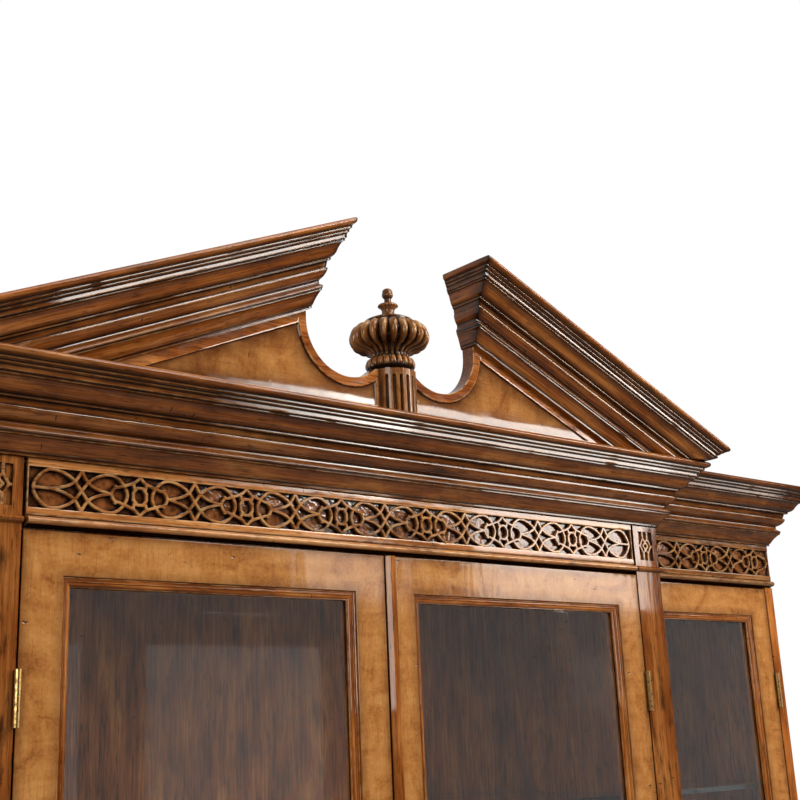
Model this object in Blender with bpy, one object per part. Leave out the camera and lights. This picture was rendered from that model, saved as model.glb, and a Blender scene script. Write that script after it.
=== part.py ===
"""A breakfront china cabinet with a broken pediment, modelled piece by piece.

Metres, +Z up. The front faces -Y, and the origin is on the floor under the middle of the cabinet.
"""

import math

import bmesh
import bpy
from mathutils import Matrix, Vector

# Fits
FIT = 0.0003  # gap kept between pieces that touch
DOOR_GAP = 0.003  # gap round a closed door
MEETING_GAP = 0.003  # gap between the two doors of a pair
SHELF_CLEARANCE = 0.0015  # gap at each end of a shelf

# Widths, from the centre line outwards
CENTRE_HALF = 0.579  # outer face of the projecting centre
CASE_HALF = 0.967  # outer face of the upper case
POST_WIDTH = 0.058  # corner posts, seen as pilasters
FRIEZE_JOINT = 0.005  # open joint between the centre frieze and a post
MEETING_OFFSET = 0.005  # the doors of a pair meet this far left of the centre line
BASE_MARGIN = 0.012  # how much wider the base is on each side

# Depths
UPPER_DEPTH = 0.400  # centre frieze face to the wall
BREAK_STEP = 0.049  # how far the centre stands in front of the wings
BASE_STEP = 0.050  # how far the base stands in front of the upper case
TYMPANUM_PROUD = 0.0346  # tympanum face in front of the centre frieze face

# Heights
PLINTH_HEIGHT = 0.100
BASE_HEIGHT = 0.875  # floor to the top of the waist board
UPPER_OPENING = 1.122  # waist board to the underside of the frieze
FRIEZE_HEIGHT = 0.0775
CROWN_HEIGHT = 0.104

# Boards
SIDE_BOARD = 0.022
PARTITION_BOARD = 0.022
ROOF_BOARD = 0.022
FLOOR_BOARD = 0.022
BACK_BOARD = 0.012
FRIEZE_BOARD = 0.022
WAIST_BOARD = 0.035
WAIST_OVERHANG = 0.022
PLINTH_BOARD = 0.022
PLINTH_REACH = 0.006  # plinth foot in front of the base

# Crown moulding, used level on the cornice and tilted on the pediment
CROWN_REACH = 0.073
CROWN_SEAT = 0.020  # part of the cornice that lies on the frieze board
CROWN_SEAT_RISE = 0.031  # height of the cornice's back edge over its seat
CROWN_TOP = 0.064  # flat top that carries the tympanum
RAKE_EXTRA = 0.0035  # reach of the raking cornice beyond that of the level one

# Frieze
FRET_BAND = 0.0464
FRET_TOP_BORDER = 0.0093
FRET_END_BORDER = 0.004
FRET_SINK = 0.004  # depth of the ground behind the fretwork
BEAD_REACH = 0.007
BEAD_HEIGHT = 0.0095
BEAD_LIFT = 0.0025  # bead above the lower edge of the frieze
BLOCK_BAND_WIDTH = 0.034  # fret block on a post

# Pediment
PEDIMENT_SLOPE = math.radians(22.75)
OPENING_HALF = 0.1517  # inner edge of the tympanum, above the scoop
RAKE_RISE = 0.1275  # underside of the raking cornice above the cornice, at the opening
RAKE_HEIGHT = 0.0935  # square to the slope
RETURN_SHARE = 0.41  # reach of the return in the opening, per reach of the front
TYMPANUM_BOARD = 0.023
TYMPANUM_SHY = 0.002  # tympanum below the top of the raking cornice
SCOOP_RADIUS = 0.069
SCOOP_DROP = 0.012  # centre of the scoop below the underside of the raking cornice
PANEL_BORDER = 0.013
PANEL_SINK = 0.003
PANEL_INNER = 0.044  # inner edge of a sunk panel

# Finial and its plinth
PEDESTAL_RISE = 0.0645
BOW_HALF = 0.032
BOW_DEPTH = 0.024
FLUTES = 7
FLUTE_DEPTH = 0.0022
FINIAL_LOBES = 24
LOBE_DEPTH = 0.0045
URN_RADIUS = 0.0566
URN_HEIGHT = 0.1274

# Upper doors
DOOR_THICKNESS = 0.022
STILE_WIDTH = 0.049
STICKING_WIDTH = 0.012  # moulded inner edge of a door frame
STICKING_DEPTH = 0.008
STICKING_BOW = -0.16  # hollow of the moulded edge
STICKING_QUIRK = 0.001  # small step before the moulded edge of a base door
GLASS_THICKNESS = 0.004
GROOVE_DEPTH = 0.008  # how far the glass goes into the frame
ASTRAGAL_WIDTH = 0.017
ASTRAGAL_REACH = 0.007

# Hinges and pivots
HINGE_RADIUS = 0.004
HINGE_LEAF = 0.0018
HINGE_LEAF_DEPTH = 0.018
HINGE_LENGTH = 0.060
HINGE_INSET = 0.150  # hinge end to door end
PIVOT_INSET = 0.016  # pivot behind the edge of a base door
PIVOT_SETBACK = 0.008  # pivot behind the face of a base door
PIN_RADIUS = 0.004
PIN_ENGAGEMENT = 0.006

# Knobs
KNOB_RADIUS = 0.012
KNOB_REACH = 0.027
UPPER_KNOB_RISE = 0.500  # above the lower end of an upper door
BASE_KNOB_RISE = 0.480

# Shelves
SHELF_THICKNESS = 0.008
SHELF_RISES = (0.395, 0.775)  # undersides above the waist board
SHELF_SETBACK = 0.006
PEG_RADIUS = 0.003
PEG_REACH = 0.010
PEG_MARGIN = 0.050  # peg to the front or back edge of a shelf

# Mesh fineness
ARC_STEPS = 4
SHORT_ARC_STEPS = 2
ROUND_SIDES = 12
PEG_SIDES = 8
EMBED = 0.004  # how deep a joined-on shape reaches into its board
MOULDING_SMOOTH = 30  # largest angle shaded smooth on mouldings, in degrees
TURNED_SMOOTH = 50  # largest angle shaded smooth on turned pieces, in degrees

# Levels worked out from the sizes above
WAIST_BOTTOM = BASE_HEIGHT - WAIST_BOARD
FRIEZE_BOTTOM = BASE_HEIGHT + UPPER_OPENING
CORNICE_BOTTOM = FRIEZE_BOTTOM + FRIEZE_HEIGHT
CORNICE_TOP = CORNICE_BOTTOM + CROWN_HEIGHT
ROOF_BOTTOM = CORNICE_BOTTOM - FIT - ROOF_BOARD
RAKE_FOOT = CORNICE_TOP + RAKE_RISE
PEDESTAL_TOP = CORNICE_TOP + PEDESTAL_RISE
FLOOR_TOP = PLINTH_HEIGHT + FIT + FLOOR_BOARD

# Planes worked out from the sizes above
RAKE_REACH = CROWN_REACH + RAKE_EXTRA
FRONT_REACH = max(TYMPANUM_PROUD + RAKE_REACH + FIT, BASE_STEP + KNOB_REACH + FIT)
BACK_Y = (UPPER_DEPTH + FRONT_REACH) / 2
FACE_Y = BACK_Y - UPPER_DEPTH
WING_Y = FACE_Y + BREAK_STEP
POST_BACK_Y = WING_Y + FRIEZE_BOARD
TYMPANUM_Y = FACE_Y - TYMPANUM_PROUD
BASE_FACE_Y = FACE_Y - BASE_STEP
BASE_WING_Y = WING_Y - BASE_STEP
INSIDE_BACK_Y = BACK_Y - BACK_BOARD

# Widths worked out from the sizes above
POST_INNER = CENTRE_HALF - POST_WIDTH
BASE_CENTRE_HALF = CENTRE_HALF + BASE_MARGIN
BASE_CASE_HALF = CASE_HALF + BASE_MARGIN
BASE_POST_INNER = BASE_CENTRE_HALF - POST_WIDTH
HINGE_GAP = HINGE_LEAF + 2 * FIT
MEETING_LEFT = -MEETING_OFFSET - MEETING_GAP / 2
MEETING_RIGHT = -MEETING_OFFSET + MEETING_GAP / 2

SIDES = (("left", -1), ("right", 1))


# Materials

def make_material(name, colour, roughness, metallic=0.0, transmission=0.0):
    """A Principled material."""
    material = bpy.data.materials.new(name)
    material.use_nodes = True
    shader = material.node_tree.nodes["Principled BSDF"]
    shader.inputs["Base Color"].default_value = (*colour, 1.0)
    shader.inputs["Roughness"].default_value = roughness
    shader.inputs["Metallic"].default_value = metallic
    shader.inputs["Transmission Weight"].default_value = transmission
    return material


def make_materials():
    """The finishes of the cabinet, by name."""
    return {
        "walnut": make_material("walnut", (0.16, 0.065, 0.024), 0.35),
        "burl": make_material("burl", (0.36, 0.16, 0.05), 0.30),
        "brass": make_material("brass", (0.55, 0.36, 0.13), 0.35, metallic=1.0),
        "glass": make_material("glass", (0.95, 0.98, 0.97), 0.02, transmission=1.0),
    }


# Mesh helpers

def make_object(name, mesh_data, material, smooth_angle=None):
    """Link a closed bmesh to the scene as a named object whose faces point out."""
    bmesh.ops.recalc_face_normals(mesh_data, faces=mesh_data.faces)
    mesh = bpy.data.meshes.new(name)
    mesh_data.to_mesh(mesh)
    mesh_data.free()
    if smooth_angle:
        mesh.shade_smooth()
        mesh.set_sharp_from_angle(angle=math.radians(smooth_angle))
    if material:
        mesh.materials.append(material)
    piece = bpy.data.objects.new(name, mesh)
    bpy.context.scene.collection.objects.link(piece)
    return piece


def add_loft(mesh_data, loops, ring=False):
    """Join loops of equally many points with faces, and cap the ends unless it is a ring."""
    rows = [[mesh_data.verts.new(point) for point in loop] for loop in loops]
    pairs = list(zip(rows, rows[1:]))
    if ring:
        pairs.append((rows[-1], rows[0]))
    count = len(rows[0])
    for first, second in pairs:
        for index in range(count):
            following = (index + 1) % count
            mesh_data.faces.new((first[index], first[following], second[following], second[index]))
    if not ring:
        mesh_data.faces.new(list(reversed(rows[0])))
        mesh_data.faces.new(rows[-1])


def make_loft(name, loops, material, ring=False, smooth_angle=None):
    """An object from one loft."""
    mesh_data = bmesh.new()
    add_loft(mesh_data, loops, ring)
    return make_object(name, mesh_data, material, smooth_angle)


def box_loops(low, high):
    """Lower and upper loop of a box."""
    corners = [(low[0], low[1]), (high[0], low[1]), (high[0], high[1]), (low[0], high[1])]
    return [[(x, y, z) for x, y in corners] for z in (low[2], high[2])]


def make_box(name, low, high, material):
    """A plain board between two corners."""
    return make_loft(name, box_loops(low, high), material)


def upright(outline, z_low, z_high):
    """Loops of a plan outline raised from one level to another."""
    return [[(x, y, z) for x, y in outline] for z in (z_low, z_high)]


def across(outline, x_low, x_high):
    """Loops of a (y, z) outline run across from one x to another."""
    return [[(x, y, z) for y, z in outline] for x in (x_low, x_high)]


def fore_and_aft(outline, y_low, y_high):
    """Loops of an (x, z) outline run from one y to another."""
    return [[(x, y, z) for x, z in outline] for y in (y_low, y_high)]


def circle(x, y, radius, sides):
    """Points round a circle."""
    turns = [2 * math.pi * index / sides for index in range(sides)]
    return [(x + radius * math.cos(turn), y + radius * math.sin(turn)) for turn in turns]


def arc(x, y, radius, start, end, steps):
    """Points along an arc, both ends included, angles in radians."""
    turns = [start + (end - start) * index / steps for index in range(steps + 1)]
    return [(x + radius * math.cos(turn), y + radius * math.sin(turn)) for turn in turns]


def traced(corners, steps=ARC_STEPS):
    """Points along an outline. A corner's third value bows the stretch that leads to it."""
    points = [corners[0][:2]]
    for (x0, y0, _), (x1, y1, bow) in zip(corners, corners[1:]):
        if bow:
            for step in range(1, steps):
                share = step / steps
                swell = 4 * bow * share * (1 - share)
                x = x0 + (x1 - x0) * share + (y1 - y0) * swell
                y = y0 + (y1 - y0) * share - (x1 - x0) * swell
                points.append((x, y))
        points.append((x1, y1))
    return points


def scaled(points, width, height):
    """A drawn outline sized so that its widest point is at the width and its highest at the height."""
    width_scale = width / max(x for x, _ in points)
    height_scale = height / max(y for _, y in points)
    return [(x * width_scale, y * height_scale) for x, y in points]


def mirrored(points, side):
    """Points with x turned over on the left side."""
    return [(side * point[0], *point[1:]) for point in points]


def combine(target, loft_list, operation, name):
    """Unite a board with lofts, or cut them out of it, by one Boolean modifier."""
    mesh_data = bmesh.new()
    for loops in loft_list:
        add_loft(mesh_data, loops)
    tool = make_object(name, mesh_data, None)
    tool.hide_render = True
    tool.display_type = "WIRE"
    modifier = target.modifiers.new(name, "BOOLEAN")
    modifier.operation = operation
    modifier.solver = "EXACT"
    modifier.object = tool


def make_axis(name, x, y):
    """An empty on a door's axis."""
    axis = bpy.data.objects.new(name, None)
    axis.location = (x, y, 0)
    bpy.context.scene.collection.objects.link(axis)
    return axis


def hang(piece, axis):
    """Put a piece's origin on a door's axis, without moving its shape."""
    piece.data.transform(Matrix.Translation(-Vector(axis.location)))
    piece.parent = axis


# Outlines

def breakfront(margin, centre, case, front, wing, back):
    """Plan outline of a case whose centre stands forward, grown by a margin except at the wall."""
    back_edge = back + min(margin, 0)
    return [
        (-case - margin, back_edge),
        (-case - margin, wing - margin),
        (-centre - margin, wing - margin),
        (-centre - margin, front - margin),
        (centre + margin, front - margin),
        (centre + margin, wing - margin),
        (case + margin, wing - margin),
        (case + margin, back_edge),
    ]


def base_outline(margin):
    """Plan outline of the base, grown by a margin."""
    return breakfront(margin, BASE_CENTRE_HALF, BASE_CASE_HALF, BASE_FACE_Y, BASE_WING_Y, BACK_Y)


def crown_profile(height):
    """Front of the crown moulding from its foot to its top edge, as (reach, height)."""
    corners = [
        (0.0, 0.0, 0),
        (4.5, 0.0, 0),
        (5.0, 4.0, 0),
        (6.5, 4.8, 0),
        (17.5, 19.3, -0.05),
        (20.5, 21.0, 0),
        (21.0, 26.0, 0),
        (16.5, 29.5, 0),
        (15.5, 32.0, 0),
        (15.8, 36.0, 0),
        (28.4, 46.8, 0.11),
        (29.2, 50.0, 0),
        (26.2, 54.0, 0),
        (26.0, 58.0, 0),
        (33.8, 59.0, 0),
        (43.0, 68.0, 0.13),
        (50.0, 77.0, -0.06),
        (53.5, 77.5, 0),
        (54.0, 80.0, 0),
        (58.5, 81.5, 0),
        (59.5, 84.5, 0),
        (64.5, 87.5, 0.1),
        (65.5, 90.0, 0),
        (70.0, 93.0, 0.1),
        (70.5, 95.5, 0),
        (73.0, 97.5, 0),
        (73.0, 101.0, 0),
        (70.5, 104.0, 0),
    ]
    return scaled(traced(corners), CROWN_REACH, height)


def cornice_section():
    """Closed section of the level cornice, hollowed at its back."""
    front = crown_profile(CROWN_HEIGHT)
    top_back = front[-1][0] - CROWN_TOP
    return front + [(top_back, CROWN_HEIGHT), (-CROWN_SEAT, CROWN_SEAT_RISE), (-CROWN_SEAT, 0.0)]


def rake_section():
    """Closed section of a raking cornice, planted on the face of the tympanum."""
    front = [(reach + RAKE_EXTRA, rise) for reach, rise in crown_profile(RAKE_HEIGHT)[1:]]
    return [(0.0, 0.0), *front, (0.0, RAKE_HEIGHT)]


def rake_height_at(x, rise):
    """Level of a line of the raking cornice at a distance from the centre line."""
    slope_drop = math.tan(PEDIMENT_SLOPE) * (x - OPENING_HALF)
    return RAKE_FOOT + rise / math.cos(PEDIMENT_SLOPE) - slope_drop


# Upper case

def make_upper_case(finish):
    """Sides, partitions, roof and back of the upper case."""
    wood = finish["walnut"]
    foot = BASE_HEIGHT + FIT
    head = ROOF_BOTTOM - FIT
    shelf_pegs = [(y, BASE_HEIGHT + rise - FIT - PEG_RADIUS)
                  for rise in SHELF_RISES
                  for y in (shelf_front() + PEG_MARGIN, shelf_back() - PEG_MARGIN)]
    for word, side in SIDES:
        notch_y = WING_Y + FRIEZE_BOARD + FIT
        notch_z = FRIEZE_BOTTOM - FIT
        outline = [(WING_Y, foot), (BACK_Y, foot), (BACK_Y, head), (notch_y, head),
                   (notch_y, notch_z), (WING_Y, notch_z)]
        inner = CASE_HALF - SIDE_BOARD
        board = make_loft(f"upper_side_{word}", across(outline, side * inner, side * CASE_HALF), wood)
        pegs = [peg(side * (inner - PEG_REACH), side * (inner + EMBED), *place) for place in shelf_pegs]
        combine(board, pegs, "UNION", f"pegs_side_{word}")

        inner = CENTRE_HALF - PARTITION_BOARD
        low_x, high_x = sorted((side * inner, side * CENTRE_HALF))
        board = make_box(f"upper_partition_{word}", (low_x, POST_BACK_Y + FIT, foot),
                         (high_x, INSIDE_BACK_Y - FIT, head), wood)
        pegs = [peg(side * (inner - PEG_REACH), side * (inner + EMBED), *place) for place in shelf_pegs]
        pegs += [peg(side * (CENTRE_HALF - EMBED), side * (CENTRE_HALF + PEG_REACH), *place)
                 for place in shelf_pegs]
        combine(board, pegs, "UNION", f"pegs_partition_{word}")

    roof = breakfront(0, POST_INNER - FIT, CASE_HALF, FACE_Y + FRIEZE_BOARD + FIT, POST_BACK_Y + FIT, BACK_Y)
    make_loft("upper_roof", upright(roof, ROOF_BOTTOM, CORNICE_BOTTOM - FIT), wood)
    back_half = CASE_HALF - SIDE_BOARD - FIT
    make_box("upper_back", (-back_half, INSIDE_BACK_Y, foot), (back_half, BACK_Y, head), wood)


def peg(x_low, x_high, y, z):
    """Loops of a shelf peg that runs across."""
    return across(circle(y, z, PEG_RADIUS, PEG_SIDES), x_low, x_high)


def shelf_front():
    """Front edge of every shelf."""
    return POST_BACK_Y + SHELF_SETBACK


def shelf_back():
    """Back edge of every shelf."""
    return INSIDE_BACK_Y - SHELF_CLEARANCE


def make_shelves(finish):
    """Two glass shelves in each bay, lying on the pegs."""
    wing_low = CENTRE_HALF + SHELF_CLEARANCE
    wing_high = CASE_HALF - SIDE_BOARD - SHELF_CLEARANCE
    centre = CENTRE_HALF - PARTITION_BOARD - SHELF_CLEARANCE
    bays = (("left", -wing_high, -wing_low), ("centre", -centre, centre), ("right", wing_low, wing_high))
    for level, rise in zip(("lower", "upper"), SHELF_RISES):
        bottom = BASE_HEIGHT + rise
        for word, x_low, x_high in bays:
            make_box(f"shelf_{level}_{word}", (x_low, shelf_front(), bottom),
                     (x_high, shelf_back(), bottom + SHELF_THICKNESS), finish["glass"])


# Frieze, posts and cornice

def bead_section():
    """Half-round bead below the fretwork, as (reach, height) from its lower to its upper edge."""
    low = FRIEZE_BOTTOM + BEAD_LIFT
    return traced([(0.0, low, 0), (0.0, low + BEAD_HEIGHT, BEAD_REACH / BEAD_HEIGHT)])


def make_frieze(name, x_low, x_high, face, fret_low, fret_high, wood):
    """A frieze board with its bead, sunk where the fretwork lies."""
    back = face + FRIEZE_BOARD
    top = CORNICE_BOTTOM - FIT
    outline = [(back, FRIEZE_BOTTOM), (face, FRIEZE_BOTTOM)]
    outline += [(face - reach, z) for reach, z in bead_section()]
    outline += [(face, top), (back, top)]
    board = make_loft(name, across(outline, x_low, x_high), wood)
    high = CORNICE_BOTTOM - FRET_TOP_BORDER
    ground = box_loops((fret_low, face - FRET_SINK, high - FRET_BAND), (fret_high, face + FRET_SINK, high))
    combine(board, [ground], "DIFFERENCE", f"ground_{name}")


def make_friezes(finish):
    """The three frieze boards."""
    half = POST_INNER - FRIEZE_JOINT
    end = half - FRET_END_BORDER
    make_frieze("frieze_centre", -half, half, FACE_Y, -end, end, finish["walnut"])
    wing_inner = CENTRE_HALF + FIT
    fret_inner = CENTRE_HALF + POST_WIDTH
    fret_outer = CASE_HALF - FRET_END_BORDER
    for word, side in SIDES:
        x_low, x_high = sorted((side * wing_inner, side * CASE_HALF))
        fret_low, fret_high = sorted((side * fret_inner, side * fret_outer))
        make_frieze(f"frieze_wing_{word}", x_low, x_high, WING_Y, fret_low, fret_high, finish["walnut"])


def make_posts(finish):
    """Corner posts of the centre, with the bead carried round and a fret block at the top."""
    foot = BASE_HEIGHT + FIT
    top = CORNICE_BOTTOM - FIT
    middle = (POST_INNER + CENTRE_HALF) / 2
    high = CORNICE_BOTTOM - FRET_TOP_BORDER
    for word, side in SIDES:
        low_x, high_x = sorted((side * POST_INNER, side * CENTRE_HALF))
        post = make_box(f"pilaster_{word}", (low_x, FACE_Y, foot), (high_x, POST_BACK_Y, top),
                        finish["walnut"])
        section = bead_section()
        section += [(-EMBED, section[-1][1]), (-EMBED, section[0][1])]
        bead_end = WING_Y - BEAD_REACH - FIT
        bead = [
            [(side * POST_INNER, FACE_Y - reach, z) for reach, z in section],
            [(side * (CENTRE_HALF + reach), FACE_Y - reach, z) for reach, z in section],
            [(side * (CENTRE_HALF + reach), bead_end, z) for reach, z in section],
        ]
        combine(post, [bead], "UNION", f"bead_{word}")
        block_low, block_high = sorted((side * middle - BLOCK_BAND_WIDTH / 2,
                                        side * middle + BLOCK_BAND_WIDTH / 2))
        ground = box_loops((block_low, FACE_Y - FRET_SINK, high - FRET_BAND),
                           (block_high, FACE_Y + FRET_SINK, high))
        combine(post, [ground], "DIFFERENCE", f"ground_post_{word}")


def make_cornices(finish):
    """Level cornice in three lengths, mitred at every corner."""
    section = cornice_section()

    def line(x, y):
        return [(x(d), y(d), CORNICE_BOTTOM + z) for d, z in section]

    centre = [
        line(lambda d: -CENTRE_HALF - d, lambda d: WING_Y - d - FIT),
        line(lambda d: -CENTRE_HALF - d, lambda d: FACE_Y - d),
        line(lambda d: CENTRE_HALF + d, lambda d: FACE_Y - d),
        line(lambda d: CENTRE_HALF + d, lambda d: WING_Y - d - FIT),
    ]
    make_loft("cornice_centre", centre, finish["walnut"], smooth_angle=MOULDING_SMOOTH)
    wing = [
        line(lambda d: CENTRE_HALF + d + FIT, lambda d: WING_Y - d),
        line(lambda d: CASE_HALF + d, lambda d: WING_Y - d),
        line(lambda d: CASE_HALF + d, lambda d: BACK_Y),
    ]
    for word, side in SIDES:
        loops = [mirrored(loop, side) for loop in wing]
        make_loft(f"cornice_wing_{word}", loops, finish["walnut"], smooth_angle=MOULDING_SMOOTH)


# Pediment

def panel_end_angle(radius):
    """Angle where a circle round the scoop's centre meets the inner edge of the sunk panel."""
    return -math.acos((PANEL_INNER - (OPENING_HALF - SCOOP_RADIUS)) / radius)


def neck_angle():
    """Angle where the scoop reaches the level of the pedestal's top."""
    share = (RAKE_RISE - SCOOP_DROP - PEDESTAL_RISE) / SCOOP_RADIUS
    return math.asin(max(-1.0, min(1.0, share))) - math.pi


def make_tympanum(finish):
    """Pediment board with its two scoops and sunk panels."""
    scoop_x = OPENING_HALF - SCOOP_RADIUS
    scoop_z = RAKE_FOOT - SCOOP_DROP
    scoop_steps = 3 * ARC_STEPS
    right = [
        (CENTRE_HALF, CORNICE_TOP + FIT),
        (CENTRE_HALF, rake_height_at(CENTRE_HALF, RAKE_HEIGHT) - TYMPANUM_SHY),
        (OPENING_HALF, rake_height_at(OPENING_HALF, RAKE_HEIGHT) - TYMPANUM_SHY),
    ]
    right += arc(scoop_x, scoop_z, SCOOP_RADIUS, 0, neck_angle(), scoop_steps)
    outline = right + mirrored(list(reversed(right)), -1)
    back = TYMPANUM_Y + TYMPANUM_BOARD
    board = make_loft("tympanum", fore_and_aft(outline, TYMPANUM_Y, back), finish["burl"])

    bottom = CORNICE_TOP + PANEL_BORDER
    drop = PANEL_BORDER / math.cos(PEDIMENT_SLOPE)
    inner = OPENING_HALF + PANEL_BORDER
    inner_top = rake_height_at(inner, 0) - drop
    tip = inner + (inner_top - bottom) / math.tan(PEDIMENT_SLOPE)
    radius = SCOOP_RADIUS + PANEL_BORDER
    panel = [(PANEL_INNER, bottom), (tip, bottom), (inner, inner_top)]
    panel += arc(scoop_x, scoop_z, radius, 0, panel_end_angle(radius), scoop_steps)
    sinks = [fore_and_aft(mirrored(panel, side), TYMPANUM_Y - PANEL_SINK, TYMPANUM_Y + PANEL_SINK)
             for _, side in SIDES]
    combine(board, sinks, "DIFFERENCE", "panel_sinks")


def make_raking_cornices(finish):
    """Tilted crown mouldings with a return at each end, cut off level on the cornice."""
    section = rake_section()
    back = TYMPANUM_Y + TYMPANUM_BOARD

    def outer_x(d):
        return CENTRE_HALF + d + FIT

    def inner_x(d):
        return OPENING_HALF - RETURN_SHARE * d - FIT

    def line(x, y):
        return [(x(d), y(d), rake_height_at(x(d), rise)) for d, rise in section]

    loops = [
        line(outer_x, lambda d: back),
        line(outer_x, lambda d: TYMPANUM_Y - d - FIT),
        line(inner_x, lambda d: TYMPANUM_Y - d - FIT),
        line(inner_x, lambda d: back),
    ]
    reach = CENTRE_HALF + 2 * RAKE_REACH
    level = CORNICE_TOP + FIT
    below = box_loops((-reach, TYMPANUM_Y - 2 * RAKE_REACH, CORNICE_BOTTOM - RAKE_RISE),
                      (reach, back + RAKE_REACH, level))
    for word, side in SIDES:
        rake = make_loft(f"raking_cornice_{word}", [mirrored(loop, side) for loop in loops],
                         finish["walnut"], smooth_angle=MOULDING_SMOOTH)
        combine(rake, [below], "DIFFERENCE", f"level_cut_{word}")


def make_pedestal(finish):
    """Fluted, bow-fronted plinth of the finial, planted on the tympanum."""
    bow_radius = (BOW_HALF ** 2 + BOW_DEPTH ** 2) / (2 * BOW_DEPTH)
    half_angle = math.asin(BOW_HALF / bow_radius)
    centre_y = TYMPANUM_Y - FIT - BOW_DEPTH + bow_radius
    steps = FLUTES * ARC_STEPS
    bow = []
    for step in range(steps + 1):
        turn = half_angle * (2 * step / steps - 1)
        hollow = FLUTE_DEPTH * abs(math.sin(math.pi * step / ARC_STEPS))
        radius = bow_radius - hollow
        bow.append((radius * math.sin(turn), centre_y - radius * math.cos(turn)))
    make_loft("finial_plinth", upright(bow, CORNICE_TOP + FIT, PEDESTAL_TOP), finish["walnut"],
              smooth_angle=TURNED_SMOOTH)


def finial_profile():
    """Turned outline of the finial as (radius, height), from its foot to the top of its ball."""
    foot = [
        (27.5, 0.0, 0),
        (27.5, 3.0, 0),
        (35.0, 12.0, 0.2),
        (26.5, 21.5, 0.2),
        (26.0, 26.5, 0),
    ]
    urn = [
        foot[-1],
        (39.0, 33.7, -0.12),
        (56.6, 53.5, 0.13),
        (38.0, 76.0, 0.115),
    ]
    tip = [
        urn[-1],
        (34.5, 77.5, 0),
        (34.5, 79.3, 0),
        (11.0, 86.4, 0.05),
        (8.9, 90.5, 0),
        (9.0, 95.0, 0),
        (14.4, 100.8, -0.1),
        (12.5, 104.0, 0.2),
        (5.5, 106.0, 0),
        (4.9, 107.5, 0),
        (4.9, 112.5, 0),
        (7.4, 120.0, 0.2),
        (0.8, 127.4, 0.25),
    ]
    drawn = traced(foot, SHORT_ARC_STEPS) + traced(urn)[1:] + traced(tip, SHORT_ARC_STEPS)[1:]
    return scaled(drawn, URN_RADIUS, URN_HEIGHT)


def make_finial(finish):
    """Gadrooned urn with a ball tip, standing on the pedestal and the tympanum."""
    sides = 2 * FINIAL_LOBES
    axis_y = TYMPANUM_Y + TYMPANUM_BOARD / 2
    foot = PEDESTAL_TOP + FIT
    loops = []
    for radius, z in finial_profile():
        hollow = LOBE_DEPTH * min(1.0, (radius / URN_RADIUS) ** 2)
        loop = []
        for index, (x, y) in enumerate(circle(0, 0, 1, sides)):
            width = radius - hollow * (index % 2)
            loop.append((x * width, axis_y + y * width, foot + z))
        loops.append(loop)
    make_loft("finial", loops, finish["burl"], smooth_angle=TURNED_SMOOTH)


# Doors

def door_frame_section():
    """Closed section of a door frame as (distance in from its edge, depth behind its face)."""
    inner = STILE_WIDTH + STICKING_WIDTH
    glass_front = STICKING_DEPTH + FIT
    glass_back = glass_front + GLASS_THICKNESS + 2 * FIT
    section = [(0.0, 0.0)]
    section += traced([(STILE_WIDTH, 0.0, 0), (inner, STICKING_DEPTH, STICKING_BOW)])
    section += [(inner, glass_front), (inner - GROOVE_DEPTH, glass_front), (inner - GROOVE_DEPTH, glass_back),
                (inner, glass_back), (inner, DOOR_THICKNESS), (0.0, DOOR_THICKNESS)]
    return section


def inset_loop(low, high, margin, y):
    """Corners of an upright rectangle drawn in by a margin."""
    (x0, z0), (x1, z1) = low, high
    return [(x0 + margin, y, z0 + margin), (x1 - margin, y, z0 + margin),
            (x1 - margin, y, z1 - margin), (x0 + margin, y, z1 - margin)]


def turned_knob(name, x, face, z, brass):
    """Turned knob standing on a door's face."""
    corners = [
        (9.0, 0.0, 0),
        (9.0, 2.2, 0),
        (4.2, 6.8, -0.2),
        (4.8, 12.2, 0),
        (12.0, 19.0, 0.2),
        (3.0, 27.0, 0.3),
    ]
    profile = scaled(traced(corners, SHORT_ARC_STEPS), KNOB_RADIUS, KNOB_REACH)
    loops = [[(px, face - FIT - reach, pz) for px, pz in circle(x, z, radius, ROUND_SIDES)]
             for radius, reach in profile]
    return make_loft(name, loops, brass, smooth_angle=TURNED_SMOOTH)


def butt_hinge(name, x, face, z_low, brass):
    """Barrel in front of the gap beside a door, with its leaf in the gap."""
    y = face - HINGE_RADIUS - FIT
    half_leaf = HINGE_LEAF / 2
    spread = math.asin(half_leaf / HINGE_RADIUS)
    top = math.pi / 2
    outline = arc(x, y, HINGE_RADIUS, top + spread, top + 2 * math.pi - spread, ROUND_SIDES)
    outline += [(x + half_leaf, face + HINGE_LEAF_DEPTH), (x - half_leaf, face + HINGE_LEAF_DEPTH)]
    make_loft(name, upright(outline, z_low, z_low + HINGE_LENGTH), brass, smooth_angle=TURNED_SMOOTH)


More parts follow.
